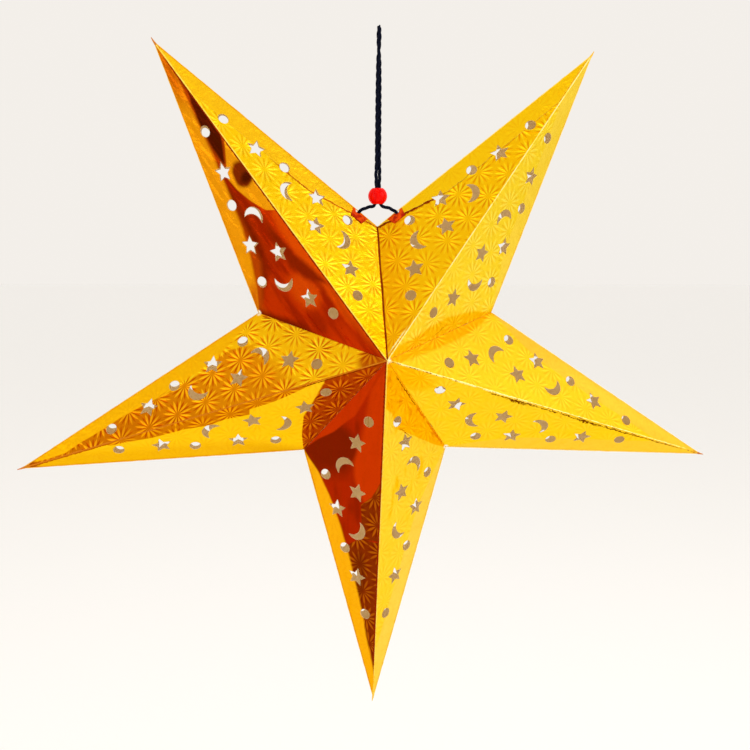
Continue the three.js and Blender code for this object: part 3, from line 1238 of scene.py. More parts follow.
def beyond(centre, tip, notch, soft=0.02, wave=0.04):
    """Where a value that runs evenly between the ones at the three corners is over zero."""
    by_u = tip - centre
    by_v = notch - centre - by_u * notch_share

    def mark(tree, at):
        value = calc(tree, "MULTIPLY_ADD", at["u"], by_u, centre)
        value = calc(tree, "MULTIPLY_ADD", at["v"], by_v, value)
        value = calc(tree, "MULTIPLY_ADD", at["wave"], wave, value)
        return ramp(tree, value, -soft, soft)
    return mark


def oval(u, v, reach_u, reach_v, soft=0.35, wave=1.0):
    """Inside an oval round a point of the panel."""
    def mark(tree, at):
        along = calc(tree, "DIVIDE", calc(tree, "SUBTRACT", at["u"], u), reach_u)
        across = calc(tree, "DIVIDE", calc(tree, "SUBTRACT", at["v"], v), reach_v)
        square = calc(tree, "ADD", calc(tree, "POWER", along, 2), calc(tree, "POWER", across, 2))
        far = calc(tree, "MULTIPLY_ADD", at["wave"], wave, calc(tree, "SQRT", square))
        return ramp(tree, far, 1 + soft, 1 - soft)
    return mark


def under(points, soft=0.012, wave=0.03):
    """Below a line drawn through points of the panel, each (u, v), from left to right."""
    def mark(tree, at):
        line = put(tree, "ValToRGB", {0: at["u"]})
        stops = line.color_ramp.elements
        while len(stops) < len(points):
            stops.new(0.5)
        for stop, (u, v) in zip(stops, points):
            stop.position = u
        for stop, (u, v) in zip(stops, points):
            stop.color = (v, v, v, 1)
        room = calc(tree, "SUBTRACT", line.outputs[0], at["v"])
        return ramp(tree, calc(tree, "MULTIPLY_ADD", at["wave"], wave, room), -soft, soft)
    return mark


def above(points, soft=0.012, wave=0.03):
    def mark(tree, at):
        return calc(tree, "SUBTRACT", 1.0, under(points, soft, wave)(tree, at))
    return mark


def reflection_streaks(scale_along, scale_across, turn, low, high):
    """In streaks: a painted streaky reflection, as a mirror-like foil shows it."""
    def mark(tree, at):
        place = stretched(tree, at["sheet"], (scale_along, scale_across, 1), turn)
        return ramp(tree, noise(tree, place, 1.0, 2.5, 0.5), low, high)
    return mark


def both(first, second):
    """Only where two marks meet."""
    def mark(tree, at):
        return calc(tree, "MULTIPLY", first(tree, at), second(tree, at))
    return mark


print("the notch lies at u", round(notch_share, 3))

# %% [markdown]
# ## Fine lines on a panel
# Cracks, rubbed lines, lines of painted shade and highlight along the creases, and the
# painted shadow beside the ragged edge of the glued strip are only a millimetre wide,
# so these marks work in metres from a line on the panel. The foil's fine grain makes
# them thick and thin, and breaks them up here and there.

# %% Helpers: narrow marks
def metres_from(tree, at, place, along_axis):
    """How far along and how far off a line through a place of the panel, in metres."""
    x = calc(tree, "MULTIPLY_ADD", at["u"], ridge_length, -place.x)
    y = calc(tree, "MULTIPLY_ADD", at["v"], panel_height, -place.y)
    return [calc(tree, "MULTIPLY_ADD", x, axis.x, calc(tree, "MULTIPLY", y, axis.y))
            for axis in (along_axis, Vector((-along_axis.y, along_axis.x)))]


def stroke(start, end, width, wander=0.0006, blots=0.45):
    """A thin line between two points of the panel; its width is in metres. It draws cracks, rubbed
    lines, painted shade and painted highlights.
    """
    first, last = (Vector((u * ridge_length, v * panel_height)) for u, v in (start, end))
    run = (last - first).length
    along_axis = (last - first) / run

    def mark(tree, at):
        along, off = metres_from(tree, at, first, along_axis)
        sway = calc(tree, "SUBTRACT", noise(tree, at["sheet"], 38.0, 3.0, 0.7), 0.5)
        off = calc(tree, "MULTIPLY_ADD", sway, wander * 5, off)
        thick = calc(tree, "MULTIPLY", calc(tree, "SUBTRACT", at["grain"], blots - 0.25), width * 2)
        inside = calc(tree, "SUBTRACT", thick, calc(tree, "ABSOLUTE", off))
        line = ramp(tree, inside, 0, width * 0.4)
        ends = calc(tree, "MULTIPLY", ramp(tree, along, -0.002, 0.004),
                    ramp(tree, along, run + 0.002, run - 0.008))
        return calc(tree, "MULTIPLY", line, ends)
    return mark


def strip_depth(tree, at, slope, width):
    """How far inside the glued strip a point lies; the strip widens from the notch."""
    along, off = metres_from(tree, at, corner_notch, outline_along)
    edge = calc(tree, "MINIMUM", calc(tree, "MULTIPLY", along, slope), width)
    return calc(tree, "ADD", edge, off), along


def strip(slope, width, soft=0.0008, wave=0.003):
    """On the strip along the outline crease where two sheets are glued."""
    def mark(tree, at):
        inside, _ = strip_depth(tree, at, slope, width)
        return ramp(tree, calc(tree, "MULTIPLY_ADD", at["wave"], wave, inside), -soft, soft)
    return mark


def beside_strip(slope, width, thick, end):
    """A ragged line of painted shadow just outside the strip's edge, from the notch to the end."""
    def mark(tree, at):
        inside, along = strip_depth(tree, at, slope, width)
        reach = calc(tree, "MULTIPLY_ADD", at["grain"], thick * 2, inside)
        line = ramp(tree, reach, 0, thick * 0.3)
        return calc(tree, "MULTIPLY", line, ramp(tree, along, end + 0.008, end - 0.008))
    return mark


print("outline crease mm", in_mm((corner_tip - corner_notch).length))

# %% [markdown]
# ## Gold foil
# Every finish starts from a ground and lays patches over it, each with the colour of
# its flat foil, the colour of its embossed petals and how far the starbursts show
# there. These colours are painted reflections and highlights on a foil that is one gold
# throughout. Along the outline the two sheets are glued, which irons the starbursts out.

# %% Helpers: layers of colour
def lay_patches(tree, at, ground, petal_sheen, burst, layers):
    """The flat colour, the petals' colour with its painted sheen and how far the bursts show, patch
    over patch.
    """
    flat, raised, show = (*ground, 1), (*petal_sheen, 1), burst
    for mark, flat_over, petal_sheen_over, burst_over in layers:
        share = mark(tree, at)
        flat = mix(tree, share, flat, (*flat_over, 1))
        raised = mix(tree, share, raised, (*petal_sheen_over, 1))
        show = put(tree, "Mix", {0: share, 2: show, 3: burst_over}, data_type="FLOAT").outputs[0]
    return flat, raised, show


def emboss_colour(tree, bursts, flat, raised, show, tint):
    """Paints shade into the grooves, and paints highlight on the petals that face the window."""
    # facing paints a light from one side onto the petals; tint sets how strong this painted
    # highlight and the painted shade in the grooves are.
    facing = calc(tree, "MULTIPLY_ADD", bursts.outputs["Facing"], 0.35, 0.6)
    lit = mix(tree, 1.0, raised, (1 + 0.8 * tint, 1 + 0.8 * tint, 1 + tint, 1), "MULTIPLY")
    groove_shade = mix(tree, 1.0, flat, (1 - 0.9 * tint, 1 - 2.6 * tint, 1 - 2.6 * tint, 1), "MULTIPLY")
    colour = mix(tree, calc(tree, "MULTIPLY", bursts.outputs["Groove"], show), flat, groove_shade)
    return mix(tree, calc(tree, "MULTIPLY", bursts.outputs["Petal"], show), colour,
               mix(tree, facing, raised, lit))


def patch(mark, flat, raised=None, burst=0.0):
    """One layer of a finish: where it lies, its two colours and how far the bursts show."""
    return mark, tone(*flat), tone(*(raised or flat)), burst


print("gold as a shader takes it", [round(v, 3) for v in tone(250, 204, 28)])

# %% [markdown]
# ## The foil's gloss and relief
# The colour alone would look like paint. A gold lacquer tints the gloss, a slow mottle
# and fine scratches keep it uneven, and the relief is stacked from three bumps: crinkles,
# drawn streaks where a panel has them, and the starbursts on top. A Bevel node finds
# the sharp rims of the card, which are rubbed pale.

# %% Mix a foil
lacquer = (1.0, 0.72, 0.2, 1)
mottle_brown = (0.95, 0.86, 0.7, 1)
rubbed_gold = (0.9, 0.72, 0.42, 1)
wave_scale, grain_scale, mottle_scale, crinkle_scale = 4.0, 55.0, 22.0, 9.0
gloss_spread = (-0.08, 0.1)
rounding = 0.0006
burst_depth = burst_pitch * 0.4


def foil_finish(name, ground, petal_sheen, layers=(), tint=0.2, relief=0.5, roughness=0.3, drawn=0.0,
                burst=1.0, crinkled=0.0009, rim=0.2):
    ground, petal_sheen = tone(*ground), tone(*petal_sheen)
    material, tree, shader = new_finish(name, ground, roughness, 1.0)
    sheet = put(tree, "UVMap", uv_map="sheet").outputs[0]
    own = put(tree, "UVMap", uv_map="panel").outputs[0]
    shares = put(tree, "SeparateXYZ", {0: own}).outputs
    slow = calc(tree, "SUBTRACT", noise(tree, sheet, wave_scale, 4.0, 0.55), 0.5)
    grain = noise(tree, sheet, grain_scale, 3.0, 0.6)
    at = {"u": shares[0], "v": shares[1], "wave": slow, "grain": grain, "sheet": sheet}
    flat, raised, show = lay_patches(tree, at, ground, petal_sheen, burst, layers)
    fading = ramp(tree, noise(tree, sheet, 2.6, 2.0, 0.5), 0.36, 0.56)
    show = calc(tree, "MULTIPLY", show, calc(tree, "MULTIPLY_ADD", fading, 0.45, 0.55))
    bursts = put(tree, "Group", {0: sheet}, node_tree=starbursts)
    colour = emboss_colour(tree, bursts, flat, raised, show, tint)
    mottle = ramp(tree, noise(tree, sheet, mottle_scale, 4.0, 0.7), 0.4, 0.75)
    colour = mix(tree, mottle, colour, mix(tree, 0.5, colour, mottle_brown, "MULTIPLY"))
    rounded = put(tree, "Bevel", {"Radius": rounding}, samples=4).outputs[0]
    straight = put(tree, "NewGeometry").outputs["Normal"]
    turned = vector_calc(tree, "DOT_PRODUCT", rounded, straight, output="Value")
    rubbed = calc(tree, "MULTIPLY", ramp(tree, turned, 0.99, 0.85), rim)
    fine = noise(tree, stretched(tree, sheet, (60, 14, 1), 0.4), 1.0, 4.0, 0.6)
    gloss = {"Value": fine, "To Min": roughness + gloss_spread[0],
             "To Max": roughness + gloss_spread[1]}
    crinkle = noise(tree, sheet, crinkle_scale, 5.0, 0.6)
    normal = bump(tree, crinkle, 1.0, crinkled, Normal=rounded)
    if drawn:
        streak = noise(tree, stretched(tree, sheet, (2.5, 12, 1), 0.3), 1.0, 2.0, 0.45)
        normal = bump(tree, streak, 1.0, drawn, Normal=normal)
    height = calc(tree, "MULTIPLY", bursts.outputs["Height"], show)
    feed(tree, shader, {
        "Base Color": mix(tree, rubbed, colour, rubbed_gold),
        "Specular Tint": lacquer,
        "Roughness": put(tree, "MapRange", gloss).outputs[0],
        "Normal": bump(tree, height, relief, burst_depth, Normal=normal),
    })
    return material


foils = {}


def lay_foil(panel, ground, petal_sheen, layers, **gloss):
    """Mixes the foil of one panel, or a plain one, and keeps it under that name."""
    foils[panel] = foil_finish("foil_" + panel.replace("_front", ""), ground, petal_sheen, layers, **gloss)
    print(panel, "patches", len(layers), "nodes", len(foils[panel].node_tree.nodes))


print("rims are rounded over mm", in_mm(rounding))

# %% [markdown]
# ## Patches that many panels share
# The glued strip along the outline, the hem, is smoother than the rest. At the notches
# and at the star's centre the foil is rubbed through to the white card. Beside the open
# seam runs a dark line of painted shade, where the two sheets don't quite meet. The
# three plain finishes here are for the hidden back.

# %% Lay the foil of the plain panels
hem = strip(0.28, 0.0115)
narrowing_hem = [(0.306, 1.0), (0.36, 0.81), (0.42, 0.66), (0.5, 0.5), (0.6, 0.355), (0.7, 0.235),
                 (0.8, 0.135), (0.88, 0.05), (0.93, 0)]
bare = (255, 246, 222)
# The next colour paints the shade in the narrow gaps at the open seam and beside the right flap.
gap_shade_brown = (150, 54, 3)
# The next colour is painted shadow beside the edge of the left flap.
flap_gap_shade = (196, 104, 8)
fold_shadow = (138, 34, 2)
# A pale line along a ridge: partly rubbed foil, partly a painted highlight.
gold_line = (255, 246, 160)
worn_centre = patch(oval(0, 0, 0.009, 0.036, soft=0.5, wave=1.5), bare)
worn_notch = patch(oval(notch_share, 1, 0.007, 0.03, soft=0.4, wave=1.5), bare)
# A line of painted shade along the valley at the open seam.
seam_gap_shade = patch(beyond(0.0045, -0.9955, 0.0045, soft=0.0012, wave=0.01), gap_shade_brown)

# The three plain grounds, yellow, amber and copper red, are painted reflections on one gold foil,
# and so are their darker streaks.
lay_foil(
    "yellow", (250, 204, 28), (255, 216, 50),
    [patch(hem, (247, 196, 30), burst=0.15)], tint=0.14, relief=0.35)
lay_foil(
    "amber", (238, 160, 14), (250, 184, 26),
    [patch(hem, (248, 182, 22), burst=0.15)], tint=0.22)
lay_foil(
    "copper", (188, 48, 3), (206, 74, 8),
    [patch(reflection_streaks(2.2, 9, 0.3, 0.42, 0.62), (126, 26, 2), (146, 34, 4)),
     patch(hem, (238, 156, 18), burst=0.1)],
    roughness=0.2, drawn=0.003, burst=0.1)

# %% [markdown]
# ## The top-left arm's bright panel
# The inner panel of this arm faces the window. Its painted reflection is an even lemon
# gold, only a little deeper near the star's centre, and a brown ragged line of painted
# shadow follows the edge of the flap.

# %% Lay the foil of the top-left arm's inner panel
lay_foil(
    "top_left_front_inner", (250, 203, 18), (253, 214, 40),
    [patch(oval(0.03, 0.06, 0.12, 0.3, soft=0.6), (245, 180, 6), (250, 192, 16), 1.0),
     patch(hem, (251, 208, 34), (253, 214, 44), 0.4),
     patch(beside_strip(flap_slope, flap_width, 0.0013, 0.076), flap_gap_shade), seam_gap_shade],
    tint=0.1, relief=0.28, crinkled=0.0008)

# %% [markdown]
# ## The top-left arm's copper-red panel
# The outer panel turns away from the light and mirrors the dark side of a room: deep
# copper red below, a brown streak and a brown blot near the tip, with gold between
# them. The starbursts hardly show on it. The reflections are painted as soft patches,
# because the room that they came from isn't here. They are laid from the broadest to
# the finest, and the golden hem, a painted reflection too, goes over them all. It
# narrows towards the tip. Beside the ridge runs a dark line of painted shadow.

# %% Lay the foil of the top-left arm's outer panel
copper_gloss = dict(tint=0.22, relief=0.4, roughness=0.2, drawn=0.0014, burst=0.0, rim=0.8)
outer_hem = above(narrowing_hem, 0.03)
red_reflections = [
    patch(reflection_streaks(2.2, 9, 0.35, 0.48, 0.66), (152, 31, 1)),
    patch(under([(0, 0.02), (0.18, 0.1), (0.4, 0.13), (0.47, 0.1), (0.5, 0)], 0.05, 0.1),
          (216, 74, 2)),
    patch(oval(0.27, 0.33, 0.05, 0.16), (206, 68, 3)),
    patch(both(above([(0.24, 0.04), (0.3, 0.07), (0.36, 0.14), (0.48, 0.2)], 0.04, 0.12),
               under([(0.24, 0.05), (0.29, 0.2), (0.34, 0.3), (0.4, 0.28), (0.48, 0.21)],
                     0.05, 0.12)), (134, 31, 1)),
    patch(oval(0.18, 0.43, 0.04, 0.09, soft=0.6), (150, 32, 1)),
    patch(above([(0.31, 0.98), (0.36, 0.6), (0.42, 0.42), (0.5, 0.36), (0.6, 0.3), (0.64, 0.27)],
                0.09, 0.25), (116, 25, 1)),
    patch(both(above([(0.31, 0.9), (0.36, 0.7), (0.4, 0.57), (0.5, 0.46), (0.6, 0.36)], 0.06),
               beyond(0.46, -0.54, 0.46, soft=0.05)), (176, 64, 3)),
    patch(above([(0.17, 0.54), (0.22, 0.64), (0.26, 0.78), (0.31, 0.97)], 0.07, 0.12),
          (112, 22, 1)),
]
gold_and_dark_reflections = [
    patch(under([(0.47, 0), (0.49, 0.12), (0.53, 0.2), (0.58, 0.26), (0.615, 0.27), (0.66, 0.2),
                 (0.7, 0.06), (0.72, 0)]), (238, 154, 12), (240, 160, 16)),
    patch(oval(0.597, 0.09, 0.034, 0.13, soft=0.2), (126, 40, 3)),
    patch(oval(0.585, 0.06, 0.014, 0.1, soft=0.5), (76, 18, 1)),
]
brown_streak_reflections = [
    patch(both(above([(0.62, 0.27), (0.66, 0.19), (0.76, 0.15), (0.86, 0), (0.9, 0)], 0.02),
               beyond(-0.63, 0.37, -0.63)), (204, 102, 5)),
    patch(both(under([(0.62, 0), (0.64, 0.25), (0.72, 0.235), (0.79, 0.18), (0.87, 0.06),
                      (0.9, 0)], 0.03, 0.06),
               above([(0.63, 0.24), (0.655, 0.15), (0.69, 0.03), (0.7, 0)], 0.016)), (160, 56, 3)),
    patch(both(under([(0.62, 0), (0.65, 0.21), (0.7, 0.2), (0.76, 0.16), (0.82, 0.08), (0.86, 0)],
                     0.02, 0.05),
               above([(0.63, 0.26), (0.665, 0.15), (0.7, 0.04), (0.715, 0)], 0.02)), (78, 18, 1)),
]
hem_reflections = [
    patch(above(narrowing_hem, 0.03, 0.04), (236, 152, 12), burst=0.05),
    patch(both(outer_hem, beyond(-0.8, 0.2, -0.8, soft=0.08)), (204, 100, 6)),
    patch(both(outer_hem, beyond(0.37, -0.63, 0.065, soft=0.03)), (206, 104, 6)),
]
# A dark line of painted shadow beside the ridge.
ridge_shade_line = patch(stroke((0.0, 0.014), (0.96, 0.014), 0.0008, 0.0002, 0.3), fold_shadow)
lay_foil("top_left_front_outer", (186, 46, 1), (192, 54, 3),
         [*red_reflections, *gold_and_dark_reflections, *brown_streak_reflections, *hem_reflections, ridge_shade_line, worn_notch],
         **copper_gloss)

# %% [markdown]
# ## The left arm's foil
# The upper panel is gold with a broad amber reflection in which the starbursts stand
# out most. The lower one is smoother: a darker band lies along its ridge and a brown
# one beside the valley. All of these tones are painted reflections.

# %% Lay the foil of the left arm
amber_edge = [(0.5, 0.48), (0.56, 0.4), (0.66, 0.3), (0.75, 0.2), (0.88, 0.02)]
lay_foil(
    "left_front_upper", (253, 192, 12), (255, 206, 26),
    [patch(hem, (253, 188, 10), burst=0.1),
     patch(both(beyond(-0.235, 0.765, -0.085, soft=0.05, wave=0.15),
                under([(0.28, 0.7), (0.34, 0.64), (0.4, 0.66), *amber_edge], 0.012, 0.06)),
           (226, 138, 5), (250, 180, 16), 1.0),
     patch(both(beyond(-0.52, 0.48, -0.45, soft=0.1, wave=0.15), under(amber_edge, 0.012, 0.06)),
           (208, 116, 2), (240, 160, 12), 1.0),
     patch(oval(0.03, 0.05, 0.04, 0.17), (196, 98, 4), (226, 140, 10), 1.0),
     patch(beyond(-0.955, 0.045, -0.955, soft=0.012), (170, 78, 4)), worn_notch],
    tint=0.24, relief=0.55)
lay_foil(
    "left_front_lower", (250, 198, 22), (253, 206, 34),
    [patch(strip(0.28, 0.012, 0.006, 0.004), (240, 182, 20), burst=0.1),
     patch(both(strip(0.28, 0.011, 0.006, 0.004), beyond(0.42, -0.58, 0.12, soft=0.08)),
           (228, 168, 16)),
     patch(under([(0.17, 0), (0.24, 0.06), (0.31, 0.11), (0.38, 0.12), (0.386, 0.2), (0.45, 0.17),
                  (0.5, 0.19), (0.56, 0.135), (0.65, 0.12), (0.71, 0.07), (0.76, 0.05), (0.77, 0)],
                 0.008, 0.02), (204, 118, 2), (232, 156, 6), 1.0),
     patch(above([(0.165, 0), (0.172, 0.05), (0.2, 0.18), (0.22, 0.28), (0.26, 0.45),
                  (0.29, 0.75), (0.306, 1.0)], 0.02, 0.03), (172, 62, 2), (206, 110, 8), 1.0),
     patch(stroke((0.02, 0.025), (0.24, 0.022), 0.0007, 0.0003, 0.4), (124, 42, 3)),
     patch(stroke((0.75, 0.012), (0.98, 0.012), 0.0012, 0.0003, 0.3), (190, 94, 3)),
     patch(beyond(-0.95, 0.05, -0.95, soft=0.012), (176, 82, 4))],
    tint=0.22, relief=0.4, burst=0.15)

# %% [markdown]
# ## The bottom arm's foil
# The left panel is the second copper-red one, and its red is a painted reflection. From
# its middle down to the tip it goes over to brown, and there the starbursts show again.
# The right panel is pale gold with a painted amber reflection beside the valley, where a
# few creases run out from the notch; their lines are painted shade.

# %% Lay the foil of the bottom arm
lay_foil(
    "bottom_front_left", (166, 34, 1), (172, 44, 3),
    [patch(reflection_streaks(2.2, 8, 0.35, 0.5, 0.7), (138, 27, 1)),
     patch(oval(0.27, 0.72, 0.09, 0.42), (122, 26, 1)),
     patch(above([(0, 0), (0.1, 0.21), (0.17, 0.36), (0.23, 0.62), (0.26, 0.8), (0.3, 1.0)],
                 0.02, 0.05), (190, 48, 1)),
     patch(under([(0, 0), (0.1, 0.2), (0.2, 0.25), (0.3, 0.36), (0.36, 0.34), (0.41, 0.22),
                  (0.42, 0.05), (0.43, 0)], 0.04, 0.08), (194, 52, 1)),
     patch(both(under([(0.3, 0), (0.34, 0.02), (0.39, 0.12), (0.42, 0.26), (0.47, 0.24),
                       (0.53, 0.3), (0.56, 0.45), (0.62, 0.52), (1.0, 0.3)], 0.012, 0.06),
                beyond(-0.32, 0.68, -0.32)), (128, 42, 2), (172, 86, 5), 0.8),
     patch(oval(0.63, 0.24, 0.07, 0.08), (112, 36, 1), (140, 66, 4), 0.4),
     patch(stroke((0.515, 0.0), (0.52, 0.16), 0.0012), (176, 34, 1)),
     patch(stroke((0.0, 0.014), (0.9, 0.014), 0.0009, 0.0002, 0.3), fold_shadow),
     patch(above(narrowing_hem, 0.02, 0.04), (244, 172, 14), burst=0.1)],
    **copper_gloss)
lay_foil(
    "bottom_front_right", (250, 208, 50), (254, 218, 68),
    [patch(above([(0.13, 0), (0.15, 0.1), (0.2, 0.2), (0.22, 0.35), (0.25, 0.55), (0.29, 0.85),
                  (0.306, 1.0)], 0.02, 0.05), (250, 176, 3), (252, 192, 12), 0.6),
     patch(both(beyond(0.13, -0.87, 0.0, soft=0.04, wave=0.1), reflection_streaks(9, 20, 1.2, 0.5, 0.68)),
           (236, 146, 2), (244, 160, 6), 0.6),
     # Lines of painted shade along the creases that run out from the notch.
     patch(stroke((0.05, 0.14), (0.16, 0.5), 0.0007), (140, 62, 4)),
     patch(stroke((0.15, 0.47), (0.302, 0.97), 0.0014), (226, 124, 2)),
     patch(stroke((0.2, 0.24), (0.245, 0.46), 0.0006), (160, 74, 4)),
     patch(reflection_streaks(3, 9, -0.2, 0.58, 0.72), (246, 188, 14), (250, 200, 30), 0.2),
     patch(hem, (248, 208, 78), burst=0.12), worn_notch, worn_centre],
    tint=0.08, relief=0.25, burst=0.4)

# %% [markdown]
# ## The right arm's foil
# Both panels face the light and are the palest; their tones are painted reflections. The
# ridge between them is badly worn: under it runs a line of dark splits, made of a few
# strokes of different widths.

# %% Lay the foil of the right arm
lay_foil(
    "right_front_lower", (250, 205, 32), (253, 212, 48),
    [patch(oval(0.06, 0.12, 0.09, 0.22), (249, 184, 8), (252, 198, 18), 0.6),
     patch(hem, (246, 201, 56), burst=0.12),
     patch(stroke((0.3, 0.024), (0.78, 0.024), 0.0011, 0.0009), (120, 56, 6)),
     patch(stroke((0.36, 0.034), (0.43, 0.038), 0.0022, 0.0012), (108, 46, 5)),
     patch(stroke((0.58, 0.03), (0.66, 0.034), 0.002, 0.0012), (108, 46, 5)),
     patch(stroke((0.535, 0.03), (0.535, 0.11), 0.001), (190, 110, 8)),
     patch(stroke((0.75, 0.018), (0.94, 0.014), 0.0008, 0.0006), (150, 84, 8)),
     worn_notch, worn_centre],
    tint=0.07, relief=0.22, burst=0.5)
lay_foil(
    "right_front_upper", (240, 195, 34), (244, 205, 50),
    [patch(above([(0.03, 0), (0.1, 0.2), (0.2, 0.5), (0.27, 0.78), (0.3, 0.96)], 0.03, 0.05),
           (240, 170, 8), (246, 186, 20), 0.8),
     patch(hem, (236, 187, 54), burst=0.15),
     patch(stroke((0.02, 0.008), (0.96, 0.008), 0.0006, 0.0002, 0.4), gold_line), worn_centre],
    tint=0.07, relief=0.25, roughness=0.48, crinkled=0.0004, burst=0.6)

# %% [markdown]
# ## The top-right arm's foil
# The inner panel has the fullest yellow and the clearest starbursts, and the outer one
# is pale and bright; both tones are painted reflections. The two flaps beside the open
# seam are part of the back sheets, so their foil runs on smoothly over the crease.
# Their cut edges are dark with glue and painted shade.

# %% Lay the foil of the top-right arm
lay_foil(
    "top_right_front_inner", (253, 195, 10), (255, 210, 22),
    [patch(beyond(0.12, -0.88, 0.12, soft=0.08), (249, 178, 5), (253, 196, 12), 1.0),
     patch(beside_strip(flap_slope, flap_width, 0.0017, 0.044), gap_shade_brown),
     patch(stroke((0.02, 0.03), (0.1, 0.024), 0.0007, 0.0002, 0.4), gold_line),
     seam_gap_shade],
    tint=0.16, relief=0.4)
lay_foil(
    "top_right_front_outer", (253, 218, 50), (255, 229, 80),
    [patch(above([(0.04, 0), (0.1, 0.16), (0.2, 0.42), (0.27, 0.75), (0.3, 0.95)], 0.03, 0.05),
           (250, 190, 14), (253, 206, 28), 0.8),
     patch(stroke((0.13, 0.4), (0.19, 0.48), 0.0006), (214, 130, 6)),
     patch(hem, (255, 220, 72), burst=0.15),
     patch(stroke((0.03, -0.004), (0.07, 0.0), 0.0012, 0.0005), (200, 110, 6)), worn_centre],
    tint=0.07, relief=0.24, burst=0.8)
flap_foils = {
    "left": foil_finish("foil_flap_left", (247, 192, 24), (249, 196, 28), tint=0.1,
                        relief=0.2, burst=0.15),
    "right": foil_finish("foil_flap_right", (255, 204, 16), (255, 208, 22), tint=0.1,
                         relief=0.2, burst=0.3),
}
# The flap's cut edge is dark with glue and painted shade near the seam, and gold towards the tip.
flap_edge_and_shade = foil_finish(
    "flap_cut_edge_and_shade", (92, 36, 6), (92, 36, 6),
    [patch(beyond(-0.6, 0.4, -0.6, soft=0.06), (240, 180, 26))], burst=0.0)
print("foil finishes", len(foils) + len(flap_foils))

# %% [markdown]
# ## Bare card, and its cut edges
# Inside, the card is bare and a pale warm grey. Light comes in by all the holes, goes
# round between the walls and seeps a little through the thin card itself, which is why
# the holes look tan and not black. A faint warm glow on the inside stands for that last
# part. The punched and trimmed edges show the same card, with the foil's colour dragged
# over them by the punch.

# %% Finish the bare card
seeping_colour, seeping_light = (1.0, 0.6, 0.2, 1), 0.055


def card_finish(name, colour, shade, fibre_scale, glow=0.0):
    material, tree, shader = new_finish(name, colour, 0.9)
    place = object_place(tree)
    fibres = noise(tree, stretched(tree, place, (1, 1, 0.35)), fibre_scale, 6.0, 0.7)
    clouds = noise(tree, place, 30.0, 3.0, 0.5)
    blend_share = calc(tree, "ADD", calc(tree, "MULTIPLY", fibres, 0.7),
                       calc(tree, "MULTIPLY", clouds, 0.3))
    feed(tree, shader, {
        "Base Color": mix(tree, ramp(tree, blend_share, 0.35, 0.65), (*colour, 1), (*shade, 1)),
        "Emission Color": seeping_colour,
        "Emission Strength": glow,
        "Normal": bump(tree, fibres, 0.5, 0.0002),
    })
    return material


inside_card = card_finish("card_inside", (0.96, 0.85, 0.65), (0.9, 0.78, 0.54), 900.0,
                          seeping_light)
cut_card = card_finish("card_cut_edge", (0.85, 0.72, 0.45), (0.7, 0.45, 0.15), 1500.0)
tab_card = card_finish("card_tab", (0.86, 0.74, 0.56), (0.78, 0.64, 0.44), 700.0, seeping_light)
print("card finishes", [card.name for card in (inside_card, cut_card, tab_card)])

# %% [markdown]
# ## Rubbed folds
# Along a fold the foil is rubbed to a pale line and cracked here and there. Only half of
# it still works as metal, and where it is rubbed through none does. How pale the line
# is, how much of it is cracked and how far out from the star's middle the rubbing
# reaches differ from arm to arm, so each arm's ridge has a finish of its own.
# The foil colour of each fold also follows the painted reflections of the panels beside it.

# %% Finish the folds
metal_left = 0.5
rust, umber = (0.6, 0.2, 0.01), (0.3, 0.08, 0.005)
split_brown = (0.3, 0.09, 0.004)


def fold_finish(name, foil, rubbed, crack, crack_share, worn_reach=0.25):
    """The rubbed colour keeps to the part of the fold within worn_reach of the star's middle."""
    foil, rubbed = tone(*foil), tone(*rubbed)
    material, tree, shader = new_finish(name, foil, 0.35)
    place = object_place(tree)
    from_middle = vector_calc(tree, "SUBTRACT", place, star_middle)
    far = vector_calc(tree, "LENGTH", from_middle, output="Value")
    wear = calc(tree, "MULTIPLY", ramp(tree, noise(tree, place, 160.0, 5.0, 0.7), 0.38, 0.54),
                ramp(tree, far, worn_reach * 1.15, worn_reach * 0.85))
    worn = mix(tree, wear, (*foil, 1), (*rubbed, 1))
    split = noise(tree, place, 420.0, 4.0, 0.75)
    cracked = ramp(tree, split, 1 - crack_share - 0.06, 1 - crack_share)
    feed(tree, shader, {
        "Base Color": mix(tree, cracked, worn, (*crack, 1)),
        "Specular Tint": lacquer,
        "Metallic": calc(tree, "SUBTRACT", metal_left, wear, clamp=True),
        "Normal": bump(tree, split, 0.8, 0.0004),
    })
    return material


ridge_finishes = {
    "top_right": fold_finish("fold_pale", (255, 226, 80), (255, 240, 150), rust, 0.22),
    "right": fold_finish("fold_split", (242, 190, 24), (255, 240, 160), split_brown,
                         0.42, 0.1),
    "bottom": fold_finish("fold_golden", (252, 196, 30), (255, 214, 70), rust, 0.28),
    "top_left": fold_finish("fold_bright", (253, 210, 40), (255, 228, 90), rust, 0.22),
    "left": fold_finish("fold_amber", (208, 118, 4), (255, 214, 80), rust, 0.2, 0.045),
}
# Outline folds are amber on the left of the star and yellow on the right, after the painted
# reflections there.
outline_finishes = {
    "left": fold_finish("edge_amber", (240, 168, 12), (244, 184, 30), rust, 0.24),
    "right": fold_finish("edge_yellow", (252, 212, 60), (254, 226, 120), rust, 0.14),
}
tail_finishes = {
    "dark": fold_finish("tip_dark", (190, 96, 4), (214, 130, 20), umber, 0.35),
    "pale": fold_finish("tip_pale", (246, 186, 20), (250, 204, 60), umber, 0.15),
}
print("fold finishes", len(ridge_finishes) + len(outline_finishes), "tips", len(tail_finishes))

# %% [markdown]
# ## Tape, lacquer and yarn
# The tape and the bead are both red with a thin clear coat. What tells them apart is the
# relief under it: wide wrinkles in the tape, and in the bead the fine grain of turned
# wood, drawn out along its bore. Their gloss is kept low, because a red that mirrors a
# pale room turns pink. The cord's yarn is navy, nearly black: a wave texture on the
# cord's own map draws the fine threads that lie across each ply.

